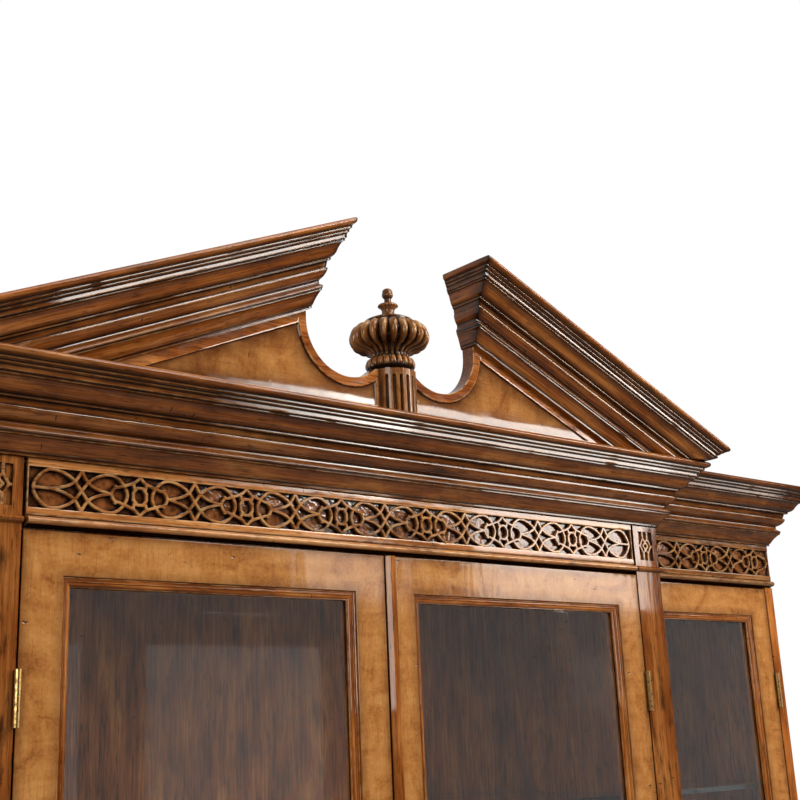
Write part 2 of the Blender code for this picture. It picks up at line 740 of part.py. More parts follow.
def make_upper_door(word, hinge_side, edges, face, finish):
    """A glazed door between two edges, its pane and its two hinges. Returns the door's axis."""
    low = (edges[0], BASE_HEIGHT + DOOR_GAP)
    high = (edges[1], FRIEZE_BOTTOM - DOOR_GAP)
    hinge_x = (edges[1] if hinge_side > 0 else edges[0]) + hinge_side * HINGE_GAP / 2
    axis = make_axis(f"axis_upper_door_{word}", hinge_x, face - HINGE_RADIUS - FIT)
    loops = [inset_loop(low, high, margin, face + depth) for margin, depth in door_frame_section()]
    hang(make_loft(f"upper_door_{word}", loops, finish["burl"], ring=True, smooth_angle=MOULDING_SMOOTH), axis)
    margin = STILE_WIDTH + STICKING_WIDTH - GROOVE_DEPTH + FIT
    front = face + STICKING_DEPTH + 2 * FIT
    pane = [inset_loop(low, high, margin, y) for y in (front, front + GLASS_THICKNESS)]
    hang(make_loft(f"pane_{word}", pane, finish["glass"]), axis)
    for level, z in (("lower", low[1] + HINGE_INSET), ("upper", high[1] - HINGE_INSET - HINGE_LENGTH)):
        butt_hinge(f"hinge_{level}_{word}", hinge_x, face, z, finish["brass"])
    return axis


def half_round(x, face, z_low, z_high):
    """Loops of the astragal bead on the meeting edge of a right-hand leaf."""
    outline = traced([(x, face, 0), (x + ASTRAGAL_WIDTH, face, ASTRAGAL_REACH / ASTRAGAL_WIDTH)])
    return upright(outline, z_low, z_high)


def make_upper_doors(finish):
    """The four glazed doors, with knobs and the astragal."""
    knob_z = BASE_HEIGHT + DOOR_GAP + UPPER_KNOB_RISE
    hung_edge = POST_INNER - HINGE_GAP
    make_upper_door("centre_left", -1, (-hung_edge, MEETING_LEFT), FACE_Y, finish)
    axis = make_upper_door("centre_right", 1, (MEETING_RIGHT, hung_edge), FACE_Y, finish)
    bead = half_round(MEETING_RIGHT, FACE_Y - FIT, BASE_HEIGHT + DOOR_GAP, FRIEZE_BOTTOM - DOOR_GAP)
    hang(make_loft("astragal", bead, finish["walnut"], smooth_angle=TURNED_SMOOTH), axis)
    knob_x = MEETING_RIGHT + (ASTRAGAL_WIDTH + STILE_WIDTH) / 2
    hang(turned_knob("upper_knob_centre", knob_x, FACE_Y, knob_z, finish["brass"]), axis)
    free_edge = CENTRE_HALF + DOOR_GAP
    outer_edge = CASE_HALF - SIDE_BOARD - HINGE_GAP
    for word, side in SIDES:
        edges = sorted((side * free_edge, side * outer_edge))
        axis = make_upper_door(f"wing_{word}", side, edges, WING_Y, finish)
        knob_x = side * (free_edge + STILE_WIDTH / 2)
        hang(turned_knob(f"upper_knob_{word}", knob_x, WING_Y, knob_z, finish["brass"]), axis)


# Base

def pivot_x(edge, hinge_side):
    """Pivot of a base door, inside its hung edge."""
    return edge - hinge_side * PIVOT_INSET


def base_doors():
    """Name, hung side, edges and face of each base door."""
    hung_edge = BASE_POST_INNER - DOOR_GAP
    free_edge = BASE_CENTRE_HALF + DOOR_GAP
    outer_edge = BASE_CASE_HALF - SIDE_BOARD - DOOR_GAP
    return (
        ("centre_left", -1, (-hung_edge, MEETING_LEFT), BASE_FACE_Y),
        ("centre_right", 1, (MEETING_RIGHT, hung_edge), BASE_FACE_Y),
        ("wing_left", -1, (-outer_edge, -free_edge), BASE_WING_Y),
        ("wing_right", 1, (free_edge, outer_edge), BASE_WING_Y),
    )


def door_pivots():
    """Where each base door turns, in plan."""
    places = []
    for _, hinge_side, edges, face in base_doors():
        edge = edges[1] if hinge_side > 0 else edges[0]
        places.append((pivot_x(edge, hinge_side), face + PIVOT_SETBACK))
    return places


def make_base_case(finish):
    """Plinth, floor, sides, partitions with their posts, back and waist board."""
    wood = finish["walnut"]
    ogee_top = PLINTH_HEIGHT - PLINTH_REACH
    ogee = traced([(PLINTH_REACH, ogee_top - 2 * PLINTH_REACH, 0), (0.0, ogee_top, 0.2)])
    section = [(PLINTH_REACH, 0.0), *ogee, (0.0, PLINTH_HEIGHT),
               (-PLINTH_BOARD, PLINTH_HEIGHT), (-PLINTH_BOARD, 0.0)]
    loops = [[(x, y, z) for x, y in base_outline(margin)] for margin, z in section]
    make_loft("base_plinth", loops, wood, ring=True)

    floor = make_loft("base_floor", upright(base_outline(0), PLINTH_HEIGHT + FIT, FLOOR_TOP), wood)
    depth = PIN_ENGAGEMENT + FIT
    holes = [upright(circle(x, y, PIN_RADIUS + FIT, ROUND_SIDES), FLOOR_TOP - depth, FLOOR_TOP + EMBED)
             for x, y in door_pivots()]
    combine(floor, holes, "DIFFERENCE", "floor_pivot_holes")

    foot = FLOOR_TOP + FIT
    head = WAIST_BOTTOM - FIT
    for word, side in SIDES:
        low_x, high_x = sorted((side * (BASE_CASE_HALF - SIDE_BOARD), side * BASE_CASE_HALF))
        make_box(f"base_side_{word}", (low_x, BASE_WING_Y, foot), (high_x, BACK_Y, head), wood)
        web = BASE_CENTRE_HALF - PARTITION_BOARD
        post_back = BASE_WING_Y + DOOR_THICKNESS
        plan = [(BASE_POST_INNER, BASE_FACE_Y), (BASE_CENTRE_HALF, BASE_FACE_Y),
                (BASE_CENTRE_HALF, INSIDE_BACK_Y - FIT), (web, INSIDE_BACK_Y - FIT),
                (web, post_back), (BASE_POST_INNER, post_back)]
        make_loft(f"base_partition_{word}", upright(mirrored(plan, side), foot, head), wood)
    back_half = BASE_CASE_HALF - SIDE_BOARD - FIT
    make_box("base_back", (-back_half, INSIDE_BACK_Y, foot), (back_half, BACK_Y, head), wood)

    corners = [
        (7.3, 0.0, 0),
        (7.3, 5.6, 0),
        (11.0, 7.0, 0),
        (22.0, 14.0, 0.2),
        (22.0, 28.0, 0),
        (15.0, 35.0, 0.2),
    ]
    edge = scaled(traced(corners), WAIST_OVERHANG, WAIST_BOARD)
    loops = [[(x, y, WAIST_BOTTOM + z) for x, y in base_outline(margin)] for margin, z in edge]
    waist = make_loft("waist_board", loops, wood, smooth_angle=MOULDING_SMOOTH)
    holes = [upright(circle(x, y, PIN_RADIUS + FIT, ROUND_SIDES), WAIST_BOTTOM - EMBED, WAIST_BOTTOM + depth)
             for x, y in door_pivots()]
    combine(waist, holes, "DIFFERENCE", "waist_pivot_holes")


def make_base_doors(finish):
    """Four panelled doors with pivot pins, and their knobs."""
    bottom = FLOOR_TOP + DOOR_GAP
    top = WAIST_BOTTOM - DOOR_GAP
    steps = [(0.0, 0.0), (STILE_WIDTH, 0.0)]
    inner = STILE_WIDTH + STICKING_WIDTH
    steps += traced([(STILE_WIDTH, STICKING_QUIRK, 0), (inner, STICKING_DEPTH, STICKING_BOW)])
    field = inner + STICKING_WIDTH
    steps += [(field, STICKING_DEPTH), (field + STICKING_WIDTH, STICKING_DEPTH / 2)]
    knob_z = bottom + BASE_KNOB_RISE
    for (word, hinge_side, edges, face), (x, y) in zip(base_doors(), door_pivots()):
        low = (edges[0], bottom)
        high = (edges[1], top)
        axis = make_axis(f"axis_base_door_{word}", x, y)
        loops = [inset_loop(low, high, 0.0, face + DOOR_THICKNESS)]
        loops += [inset_loop(low, high, margin, face + depth) for margin, depth in steps]
        door = make_loft(f"base_door_{word}", loops, finish["burl"])
        pin = circle(x, y, PIN_RADIUS, ROUND_SIDES)
        additions = [
            upright(pin, FLOOR_TOP - PIN_ENGAGEMENT, bottom + EMBED),
            upright(pin, top - EMBED, WAIST_BOTTOM + PIN_ENGAGEMENT),
        ]
        hang(door, axis)
        if word == "centre_right":
            bead = half_round(edges[0], face, bottom, top)
            additions.append(bead)
            knob_x = edges[0] + (ASTRAGAL_WIDTH + STILE_WIDTH) / 2
        else:
            free_edge = edges[0] if hinge_side > 0 else edges[1]
            knob_x = free_edge + hinge_side * STILE_WIDTH / 2
        combine(door, additions, "UNION", f"additions_{word}")
        if word != "centre_left":
            short = word.replace("centre_right", "centre").replace("wing_", "")
            hang(turned_knob(f"base_knob_{short}", knob_x, face, knob_z, finish["brass"]), axis)


def main():
    """Clear the scene and make every piece."""
    for old in list(bpy.data.objects):
        bpy.data.objects.remove(old, do_unlink=True)
    finish = make_materials()
    make_upper_case(finish)
    make_shelves(finish)
    make_friezes(finish)
    make_posts(finish)
    make_cornices(finish)
    make_tympanum(finish)
    make_raking_cornices(finish)
    make_pedestal(finish)
    make_finial(finish)
    make_upper_doors(finish)
    make_base_case(finish)
    make_base_doors(finish)


main()
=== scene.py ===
"""Looks of the china cabinet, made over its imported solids. Metres, +Z up, front towards -Y."""

import math

import bmesh
import bpy
import numpy as np
from mathutils import Matrix, Quaternion, Vector, geometry, noise


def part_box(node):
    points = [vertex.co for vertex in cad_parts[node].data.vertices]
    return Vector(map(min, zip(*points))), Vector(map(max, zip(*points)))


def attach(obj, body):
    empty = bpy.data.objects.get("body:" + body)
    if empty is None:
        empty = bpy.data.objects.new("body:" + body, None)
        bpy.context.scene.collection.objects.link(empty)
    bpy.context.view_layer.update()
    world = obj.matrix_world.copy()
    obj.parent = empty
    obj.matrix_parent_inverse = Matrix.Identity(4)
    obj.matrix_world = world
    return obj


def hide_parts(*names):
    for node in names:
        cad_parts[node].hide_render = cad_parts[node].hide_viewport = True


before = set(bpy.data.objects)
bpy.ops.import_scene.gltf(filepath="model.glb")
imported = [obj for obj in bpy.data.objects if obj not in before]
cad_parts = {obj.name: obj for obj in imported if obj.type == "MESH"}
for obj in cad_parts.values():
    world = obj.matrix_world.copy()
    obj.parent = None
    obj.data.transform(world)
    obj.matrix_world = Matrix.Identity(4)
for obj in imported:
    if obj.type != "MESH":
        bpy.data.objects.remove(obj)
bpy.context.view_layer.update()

MM = 0.001
SIDES = (("left", -1), ("right", 1))

# Lengths shared with the solids
FIT = 0.0003
CENTRE_HALF = 0.579
CASE_HALF = 0.967
POST_WIDTH = 0.058
FRIEZE_JOINT = 0.005
FACE_Y = -0.1443
WING_Y = -0.0953
BACK_Y = 0.2557
TYMPANUM_Y = -0.1789
FRIEZE_BOTTOM = 1.997
CORNICE_BOTTOM = 2.0745
CORNICE_TOP = 2.1785
POST_INNER = CENTRE_HALF - POST_WIDTH

# Crown moulding
CROWN_HEIGHT = 0.104
CROWN_SEAT = 0.020
CROWN_SEAT_RISE = 0.031
CROWN_TOP = 0.064
RAKE_EXTRA = 0.0035
RAKE_HEIGHT = 0.0935
CROWN_CORNERS = (
    (0.0, 0.0, 0),
    (4.6, 0.0, 0),
    (4.6, 3.2, 0),
    (6.5, 4.6, 0),
    (17.5, 19.0, -0.05),
    (19.8, 20.0, 0),
    (19.8, 22.4, 0),
    (20.8, 23.2, 0),
    (20.4, 27.0, 0.14),
    (16.5, 29.8, 0),
    (15.6, 32.0, 0),
    (15.6, 34.6, 0),
    (17.0, 35.8, 0),
    (28.4, 46.2, 0.11),
    (28.4, 49.0, 0),
    (26.0, 49.4, 0),
    (28.2, 57.6, 0),
    (33.4, 58.0, 0),
    (33.4, 60.8, 0),
    (35.0, 61.4, 0),
    (43.0, 68.0, 0.11),
    (50.0, 76.4, -0.06),
    (54.0, 76.8, 0),
    (54.0, 79.0, 0),
    (55.4, 79.8, 0),
    (57.0, 80.0, 0),
    (57.0, 85.2, 0),
    (58.8, 86.4, 0),
    (60.6, 86.8, 0),
    (60.6, 89.4, 0),
    (62.8, 90.6, 0),
    (64.8, 91.0, 0),
    (64.8, 93.8, 0),
    (66.6, 94.9, 0),
    (68.0, 95.2, 0),
    (72.6, 99.8, 0.19),
    (70.0, 104.0, 0.17),
)

# Pediment
PEDIMENT_SLOPE = math.radians(22.75)
OPENING_HALF = 0.1517
RAKE_FOOT = 2.306
RETURN_SHARE = 0.41
TYMPANUM_BOARD = 0.023
TYMPANUM_SHY = 0.002
SCOOP_RADIUS = 0.069
SCOOP_X = OPENING_HALF - SCOOP_RADIUS
SCOOP_Z = RAKE_FOOT - 0.012
PANEL_BORDER = 0.013
PANEL_SINK = 0.003
PANEL_INNER = 0.036
LIP_CHAMFER = 0.0006
LIP_WIDTH = 0.0016
LIP_RISE = LIP_WIDTH * math.tan(math.radians(2))
BOARD_ROUNDING = 0.0011
PANEL_GRID = 0.009
PANEL_FADE = 0.045
PANEL_GLAZE = 0.95
PEDESTAL_TOP = 2.243
BOW_HALF = 0.032
BOW_DEPTH = 0.024
FLUTES = 7
FLUTE_DEPTH = 0.0045
FLUTE_SHARE = 0.44
FLUTED_SHARE = 0.84
FLUTE_STOP = 0.0085
LOBES = 22
LOBE_DEPTH = 0.0075

# Frieze
FRIEZE_BOARD = 0.022
FRET_BAND = 0.0464
FRET_TOP = CORNICE_BOTTOM - 0.0093
FRET_MIDDLE = FRET_TOP - FRET_BAND / 2
FRET_SINK = 0.0065
FRET_PITCH = 0.150
RIBBON_HALF = 0.00175
FRET_CELL = 0.0007
FRET_SHY = 0.0004
FRET_ROUNDING = 0.0007
WING_CROSSING = 0.6984
BEAD_REACH = 0.007
BEAD_HEIGHT = 0.0095
BEAD_LIFT = 0.0025
BLOCK_BAND_WIDTH = 0.034

# Doors
DOOR_THICKNESS = 0.022
STILE_WIDTH = 0.049
STICKING_WIDTH = 0.012
STICKING_CORNERS = (
    (0.0, 0.6, 0),
    (0.6, 2.6, 0),
    (1.4, 2.6, 0),
    (5.4, 2.4, 0.42),
    (6.0, 3.6, 0),
    (10.6, 6.4, -0.16),
    (11.2, 6.2, 0),
    (12.0, 8.3, 0),
)
GROOVE_DEPTH = 0.008
GLASS_FRONT = 0.0083
GLASS_BACK = 0.0129

# Detail
ROUNDING = 0.0007
CROWN_ROUNDING = 0.0003
FINE_STEP = 0.001
ROW_STEP = 0.004
MITRE_ROW = 0.0022
SHALLOW_TURN = math.radians(12)
FULL_TURN = math.radians(50)
LONGEST_CUT = 0.4
FLANK_SHARE = 0.4
GRAIN_RADIUS = 0.04
NICK_DEPTH = 0.0016
NICK_PITCH = 42.0
NICK_RARITY = 0.40
RUB_DEPTH = 0.0001
RUB_PITCH = 24.0
CROWN_WEAR = 0.001
SMOOTH_ANGLE = math.radians(35)
WING_STAIN = 0.58
CORNICE_STAIN = 0.36
# Glazing and painted shade in inner corners and in coves under overhangs: strength of the fade, of the dark
# core, and how far it reaches on the cornice and rakes.
SHADE_FADE_SHARE = 0.82
GLAZE_AND_SHADE_CORE = 1.7
CORNICE_SHADE_FADE = 0.013
RAKE_SHADE_FADE = 0.009
NOSE_STAIN = 0.15
MITRE_FADE = 0.012
MITRE_GLAZE = 1.0
ARRIS = 0.0009
SHEEN = 0.4

# Room, lamps and camera
FLOOR_RADIUS = 9.0
AMBIENT = 0.07
BACKDROP_MIRRORED = 0.6
LAMP_COLOUR = (1.0, 0.95, 0.88)
LAMP_PLANE_Y = -3.0
LAMP_TARGET = (0.0, -0.15, 2.2)
WALL_LAMPS = (
    ("middle", (2.30, 2.9625), (0.30, 0.425), 30.0, 0.0),
    ("right_high", (3.325, 2.967), (1.75, 0.434), 15.0, 0.0),
    ("far_right", (4.8, 2.967), (1.2, 0.434), 6.0, 0.0),
    ("right_middle", (3.55, 2.65), (1.25, 0.20), 13.0, 0.0),
    ("right_low", (3.55, 2.435), (1.25, 0.23), 7.0, 0.0),
    ("door", (2.20, 2.44), (0.5, 0.26), 4.0, 0.0),
    ("door_core", (2.27, 2.43), (0.34, 0.16), 3.0, 0.0),
    ("slope_left", (1.4, 3.575), (1.41, 0.42), 18.0, 22.8),
    ("peak", (2.5, 4.0), (1.0, 0.6), 13.0, 0.0),
    ("slope_right", (3.75, 3.455), (1.9, 0.42), 22.0, -22.8),
)
CAMERA_PLACE = (-1.085, -1.4336, 1.7669)
CAMERA_YAW = 0.6859
CAMERA_PITCH = 0.2798
CAMERA_ROLL = -0.036
FOCAL_PIXELS = 1247.77
CENTRE_U = 363.55
CENTRE_V = 373.59
PHOTO_WIDTH = 800
SENSOR_WIDTH = 36


# Shader nodes

def add(tree, kind, inputs, **settings):
    """A shader node with its settings, and inputs that are values or sockets."""
    node = tree.nodes.new(kind)
    for name, value in settings.items():
        setattr(node, name, value)
    for name, value in inputs.items():
        if isinstance(value, bpy.types.NodeSocket):
            tree.links.new(value, node.inputs[name])
        else:
            node.inputs[name].default_value = value
    return node


def reckon(tree, operation, first, second=0.0):
    """One step of arithmetic, kept between 0 and 1."""
    node = add(tree, "ShaderNodeMath", {0: first, 1: second}, operation=operation, use_clamp=True)
    return node.outputs[0]


def scaled(tree, value, share):
    """A value times a share."""
    return reckon(tree, "MULTIPLY", value, share)


def weighed(tree, *parts):
    """Sum of values, each times its share, from (value, share) parts."""
    total = scaled(tree, *parts[0])
    for value, share in parts[1:]:
        total = reckon(tree, "ADD", total, scaled(tree, value, share))
    return total


def between(tree, value, low, high, start=0.0, end=1.0):
    """A smooth step from start to end as the value goes from low to high."""
    limits = {"Value": value, "From Min": low, "From Max": high, "To Min": start, "To Max": end}
    return add(tree, "ShaderNodeMapRange", limits, interpolation_type="SMOOTHSTEP").outputs["Result"]


def mixed(tree, factor, low, high):
    """Two colours mixed by a factor."""
    return add(tree, "ShaderNodeMix", {0: factor, 6: low, 7: high}, data_type="RGBA").outputs[2]


def over(tree, factor, colour, tone):
    """A tone laid over a colour by a factor."""
    return mixed(tree, factor, colour, (*tone, 1.0))


def toned(tree, factor, stops):
    """A colour ramp from (place, colour) stops."""
    node = add(tree, "ShaderNodeValToRGB", {"Fac": factor})
    elements = node.color_ramp.elements
    while len(elements) < len(stops):
        elements.new(1.0)
    for element, (place, colour) in zip(elements, stops):
        element.position = place
        element.color = (*colour, 1.0)
    return node.outputs["Color"]


def stretched(tree, vector, scale):
    """A coordinate scaled on each axis."""
    return add(tree, "ShaderNodeVectorMath", {0: vector, 1: scale}, operation="MULTIPLY").outputs[0]


def mottle(tree, vector, scale, detail=4.0, rough=0.55, distortion=0.0):
    """Noise at its own scale on each axis."""
    inputs = {"Vector": stretched(tree, vector, scale), "Scale": 1.0, "Detail": detail,
              "Roughness": rough, "Distortion": distortion}
    return add(tree, "ShaderNodeTexNoise", inputs).outputs["Fac"]


def spots(tree, vector, scale, size, share):
    """Scattered marks: a share of the cells of a pattern, each with a mark of a size at its middle."""
    cells = add(tree, "ShaderNodeTexVoronoi", {"Vector": stretched(tree, vector, scale), "Scale": 1.0})
    chance = add(tree, "ShaderNodeSeparateColor", {"Color": cells.outputs["Color"]}).outputs["Red"]
    near = between(tree, cells.outputs["Distance"], size, size * 0.5)
    chosen = reckon(tree, "LESS_THAN", chance, share)
    return reckon(tree, "MULTIPLY", near, chosen)


def marked(tree):
    """Grain coordinate stored on a piece's faces: along the grain, then across it."""
    return add(tree, "ShaderNodeAttribute", {}, attribute_name="grain").outputs["Vector"]


def upright(tree):
    """Grain coordinate of a solid whose grain runs up."""
    split = add(tree, "ShaderNodeSeparateXYZ", {0: level(tree)})
    stood_up = {0: split.outputs[2], 1: split.outputs[0], 2: split.outputs[1]}
    return add(tree, "ShaderNodeCombineXYZ", stood_up).outputs[0]


def level(tree):
    """Grain coordinate of a solid whose grain runs from side to side."""
    return add(tree, "ShaderNodeTexCoord", {}).outputs["Object"]


def attribute(tree, name):
    """A finish mark stored on a piece's faces."""
    return add(tree, "ShaderNodeAttribute", {}, attribute_name=name).outputs["Fac"]


def new_material(name):
    """An empty node material and its surface shader."""
    material = bpy.data.materials.new(name)
    material.use_nodes = True
    return material.node_tree, material.node_tree.nodes["Principled BSDF"], material


# Finishes

# Each wood's dark tone is laid for glazing and for painted shade; its light rubbed tone is laid for rubbed
# edges and for painted highlights.
WALNUT = {
    "dark": (0.12, 0.028, 0.005),
    "middle": (0.34, 0.096, 0.016),
    "light": (0.56, 0.215, 0.052),
    "glaze_and_shade": (0.012, 0.0045, 0.002),
    "worn_and_highlight": (0.72, 0.46, 0.22),
}
BURL = {
    "dark": (0.20, 0.060, 0.014),
    "middle": (0.42, 0.172, 0.044),
    "light": (0.53, 0.250, 0.076),
    "glaze_and_shade": (0.070, 0.018, 0.005),
    "worn_and_highlight": (0.62, 0.34, 0.13),
}
FRIEZE = {
    **WALNUT,
    "dark": (0.20, 0.062, 0.015),
    "middle": (0.44, 0.165, 0.045),
    "light": (0.62, 0.290, 0.100),
}
FRET = {
    **WALNUT,
    "dark": (0.11, 0.034, 0.007),
    "middle": (0.28, 0.096, 0.021),
    "light": (0.45, 0.185, 0.052),
    "worn_and_highlight": (0.68, 0.40, 0.16),
}
# Ground colours from painted shade beside the ribbons, nearly black, to the open brown.
GROUND_SHADE_TONES = ((0.0, (0.005, 0.002, 0.001)), (0.4, (0.035, 0.010, 0.003)), (1.0, (0.26, 0.085, 0.022)))
BRASS_TONES = ((0.35, (0.62, 0.42, 0.17)), (0.55, (0.46, 0.29, 0.11)), (0.75, (0.17, 0.10, 0.045)))
GLASS_TONES = ((0.2, (0.93, 0.96, 0.95)), (0.8, (0.97, 0.98, 0.97)))
FLOOR_TONES = ((0.3, (0.36, 0.36, 0.35)), (0.7, (0.40, 0.40, 0.39)))


def lacquered(tree, shader, colour, height, gloss, bump):
    """Finish shared by the woods: satin lacquer over the colour, with its small unevenness."""
    tree.links.new(colour, shader.inputs["Base Color"])
    tree.links.new(gloss, shader.inputs["Roughness"])
    shader.inputs["IOR"].default_value = 1.5
    shader.inputs["Specular IOR Level"].default_value = SHEEN
    relief = add(tree, "ShaderNodeBump", {"Height": height, "Distance": bump, "Strength": 1.0})
    tree.links.new(relief.outputs["Normal"], shader.inputs["Normal"])


def distressed(tree, vector, colour, tones, wear_share, hollow_shade_reach=0.007, hollow_shade_share=0.75):
    """Marks of age on a wood, with painted light: dings, specks, rubbed edges with painted highlights, stored
    glazing with painted shade, and painted shade in hollows. Gives colour and depth.
    """
    wobble = mottle(tree, vector, (160, 160, 160), detail=1.0)
    nudge = {0: wobble, 1: (0.004, 0.004, 0.004), 2: vector}
    moved = add(tree, "ShaderNodeVectorMath", nudge, operation="MULTIPLY_ADD").outputs[0]
    dings = spots(tree, moved, (95, 24, 24), 0.13, 0.34)
    specks = spots(tree, moved, (260, 180, 180), 0.22, 0.12)
    scars = reckon(tree, "MAXIMUM", dings, scaled(tree, specks, 0.6))
    colour = over(tree, scaled(tree, scars, 0.8), colour, WALNUT["glaze_and_shade"])

    patches = between(tree, mottle(tree, vector, (55, 130, 130), detail=3.0), 0.40, 0.62)
    rubbed = scaled(tree, attribute(tree, "wear_and_highlight"), patches)
    colour = over(tree, scaled(tree, rubbed, wear_share), colour, tones["worn_and_highlight"])

    # Painted shade: occlusion within hollow_shade_reach darkens hollows and corners with the dark tone.
    hollow = add(tree, "ShaderNodeAmbientOcclusion", {"Distance": hollow_shade_reach}, samples=8)
    deep = between(tree, hollow.outputs["AO"], 0.66, 0.26)
    streaks = mottle(tree, vector, (30, 60, 60), detail=2.0)
    uneven = between(tree, streaks, 0.25, 0.6, 0.7, 1.0)
    stored = attribute(tree, "glaze_and_shade")
    glaze_and_shade = reckon(tree, "MAXIMUM", stored, scaled(tree, deep, hollow_shade_share))
    glaze_and_shade = reckon(tree, "MAXIMUM", scaled(tree, glaze_and_shade, uneven), between(tree, stored, 0.8, 0.98))
    return over(tree, glaze_and_shade, colour, tones["glaze_and_shade"]), scars


def make_walnut(name, place, tones=WALNUT, gloss=(0.03, 0.075), wear_share=0.9, hollow_shade_reach=0.007,
                hollow_shade_share=0.75, stain=0.0):
    """Straight-grained walnut."""
    tree, shader, material = new_material(name)
    vector = place(tree)
    figure = mottle(tree, vector, (4.0, 34, 34), detail=5.0, distortion=0.6)
    fibres = mottle(tree, vector, (14, 420, 420), detail=3.0, rough=0.65)
    clouds = mottle(tree, vector, (9, 16, 16), detail=2.0)
    value = weighed(tree, (figure, 0.34), (fibres, 0.38), (clouds, 0.28))
    colour = toned(tree, value, ((0.38, tones["dark"]), (0.50, tones["middle"]), (0.61, tones["light"])))
    flecks = between(tree, mottle(tree, vector, (45, 300, 300), detail=2.0), 0.58, 0.70)
    colour = over(tree, scaled(tree, flecks, 0.55), colour, tones["glaze_and_shade"])
    stains = mottle(tree, vector, (16, 75, 75), detail=4.0, rough=0.65)
    colour = over(tree, between(tree, stains, 0.50, 0.72, stain, stain + 0.5), colour, tones["glaze_and_shade"])
    colour, scars = distressed(tree, vector, colour, tones, wear_share, hollow_shade_reach, hollow_shade_share)
    shine = mottle(tree, vector, (40, 90, 90), detail=2.0)
    roughness = between(tree, shine, 0.3, 0.7, *gloss)
    ripple = mottle(tree, vector, (14, 70, 70), detail=1.0)
    height = reckon(tree, "SUBTRACT", scaled(tree, ripple, 0.16), scaled(tree, scars, 0.8))
    lacquered(tree, shader, colour, height, roughness, 0.0003)
    return material


def make_burl(name, place, gloss, unevenness):
    """Swirled burl veneer, honey in the middle and darker towards glazed edges."""
    tree, shader, material = new_material(name)
    vector = place(tree)
    swirl = mottle(tree, vector, (13, 15, 15), detail=5.0, distortion=2.6)
    flames = mottle(tree, vector, (46, 9, 9), detail=3.0, distortion=1.1)
    grainy = mottle(tree, vector, (260, 210, 210), detail=4.0, rough=0.7)
    value = weighed(tree, (swirl, 0.40), (flames, 0.30), (grainy, 0.30))
    colour = toned(tree, value, ((0.34, BURL["dark"]), (0.48, BURL["middle"]), (0.60, BURL["light"])))
    fibres = between(tree, mottle(tree, vector, (24, 520, 520), detail=3.0), 0.52, 0.70)
    colour = over(tree, scaled(tree, fibres, 0.4), colour, BURL["dark"])
    colour, scars = distressed(tree, vector, colour, BURL, 0.6)
    shine = mottle(tree, vector, (35, 35, 35), detail=2.0)
    roughness = between(tree, shine, 0.25, 0.8, *gloss)
    ripple = mottle(tree, vector, (10, 55, 55), detail=1.0)
    height = reckon(tree, "SUBTRACT", scaled(tree, ripple, unevenness), scaled(tree, scars, 0.6))
    lacquered(tree, shader, colour, height, roughness, 0.00025)
    return material


def make_ground():
    """Ground behind the fretwork: dark stain with painted shade beside the ribbons, lighter in the open
    fields, with glints.
    """
    tree, shader, material = new_material("fret_ground")
    vector = level(tree)
    # Painted shade: occlusion darkens the ground beside the ribbons; the open fields stay lighter.
    hollow = add(tree, "ShaderNodeAmbientOcclusion", {"Distance": 0.012}, samples=8)
    clouds = mottle(tree, vector, (110, 110, 110), detail=4.0)
    unshaded = between(tree, hollow.outputs["AO"], 0.36, 0.72)
    value = scaled(tree, unshaded, between(tree, clouds, 0.25, 0.65, 0.45, 1.0))
    lumps = mottle(tree, vector, (150, 150, 150), detail=1.0)
    roughness = between(tree, clouds, 0.3, 0.7, 0.04, 0.09)
    lacquered(tree, shader, toned(tree, value, GROUND_SHADE_TONES), lumps, roughness, 0.0002)
    return material


def make_brass():
    """Old brass, browned in patches."""
    tree, shader, material = new_material("old_brass")
    vector = level(tree)
    tarnish = mottle(tree, vector, (190, 190, 190), detail=5.0)
    shader.inputs["Metallic"].default_value = 1.0
    fine = mottle(tree, vector, (900, 900, 900), detail=2.0)
    roughness = between(tree, tarnish, 0.3, 0.75, 0.22, 0.5)
    lacquered(tree, shader, toned(tree, tarnish, BRASS_TONES), fine, roughness, 0.00006)
    return material


def make_glass():
    """Clear old glass with a faint ripple."""
    tree, shader, material = new_material("cabinet_glass")
    ripple = mottle(tree, level(tree), (9, 9, 9), detail=1.0)
    shader.inputs["Transmission Weight"].default_value = 1.0
    roughness = between(tree, ripple, 0.2, 0.8, 0.01, 0.03)
    lacquered(tree, shader, toned(tree, ripple, GLASS_TONES), ripple, roughness, 0.0004)
    shader.inputs["IOR"].default_value = 1.45
    return material


finish = {
    "walnut": make_walnut("walnut", marked),
    "upright": make_walnut("walnut_upright", upright),
    "level": make_walnut("walnut_level", level),
    "frieze": make_walnut("walnut_frieze", marked, FRIEZE),
    # Painted shade: a wide, strong occlusion paints the post's slots and the gaps beside it black.
    "post": make_walnut("walnut_post", upright, hollow_shade_reach=0.024, hollow_shade_share=1.6, stain=0.35),
    "fret": make_walnut("fret_strip", marked, FRET, (0.05, 0.11), 0.8),
    "column": make_walnut("fluted_column", marked, FRET, (0.12, 0.2), 0.6),
    "burl": make_burl("burl", marked, (0.07, 0.13), 0.9),
    "burl_panel": make_burl("burl_panel", marked, (0.018, 0.04), 0.12),
    "burl_solid": make_burl("burl_solid", upright, (0.07, 0.13), 0.9),
    "ground": make_ground(),
    "brass": make_brass(),
    "glass": make_glass(),
}


# Building pieces

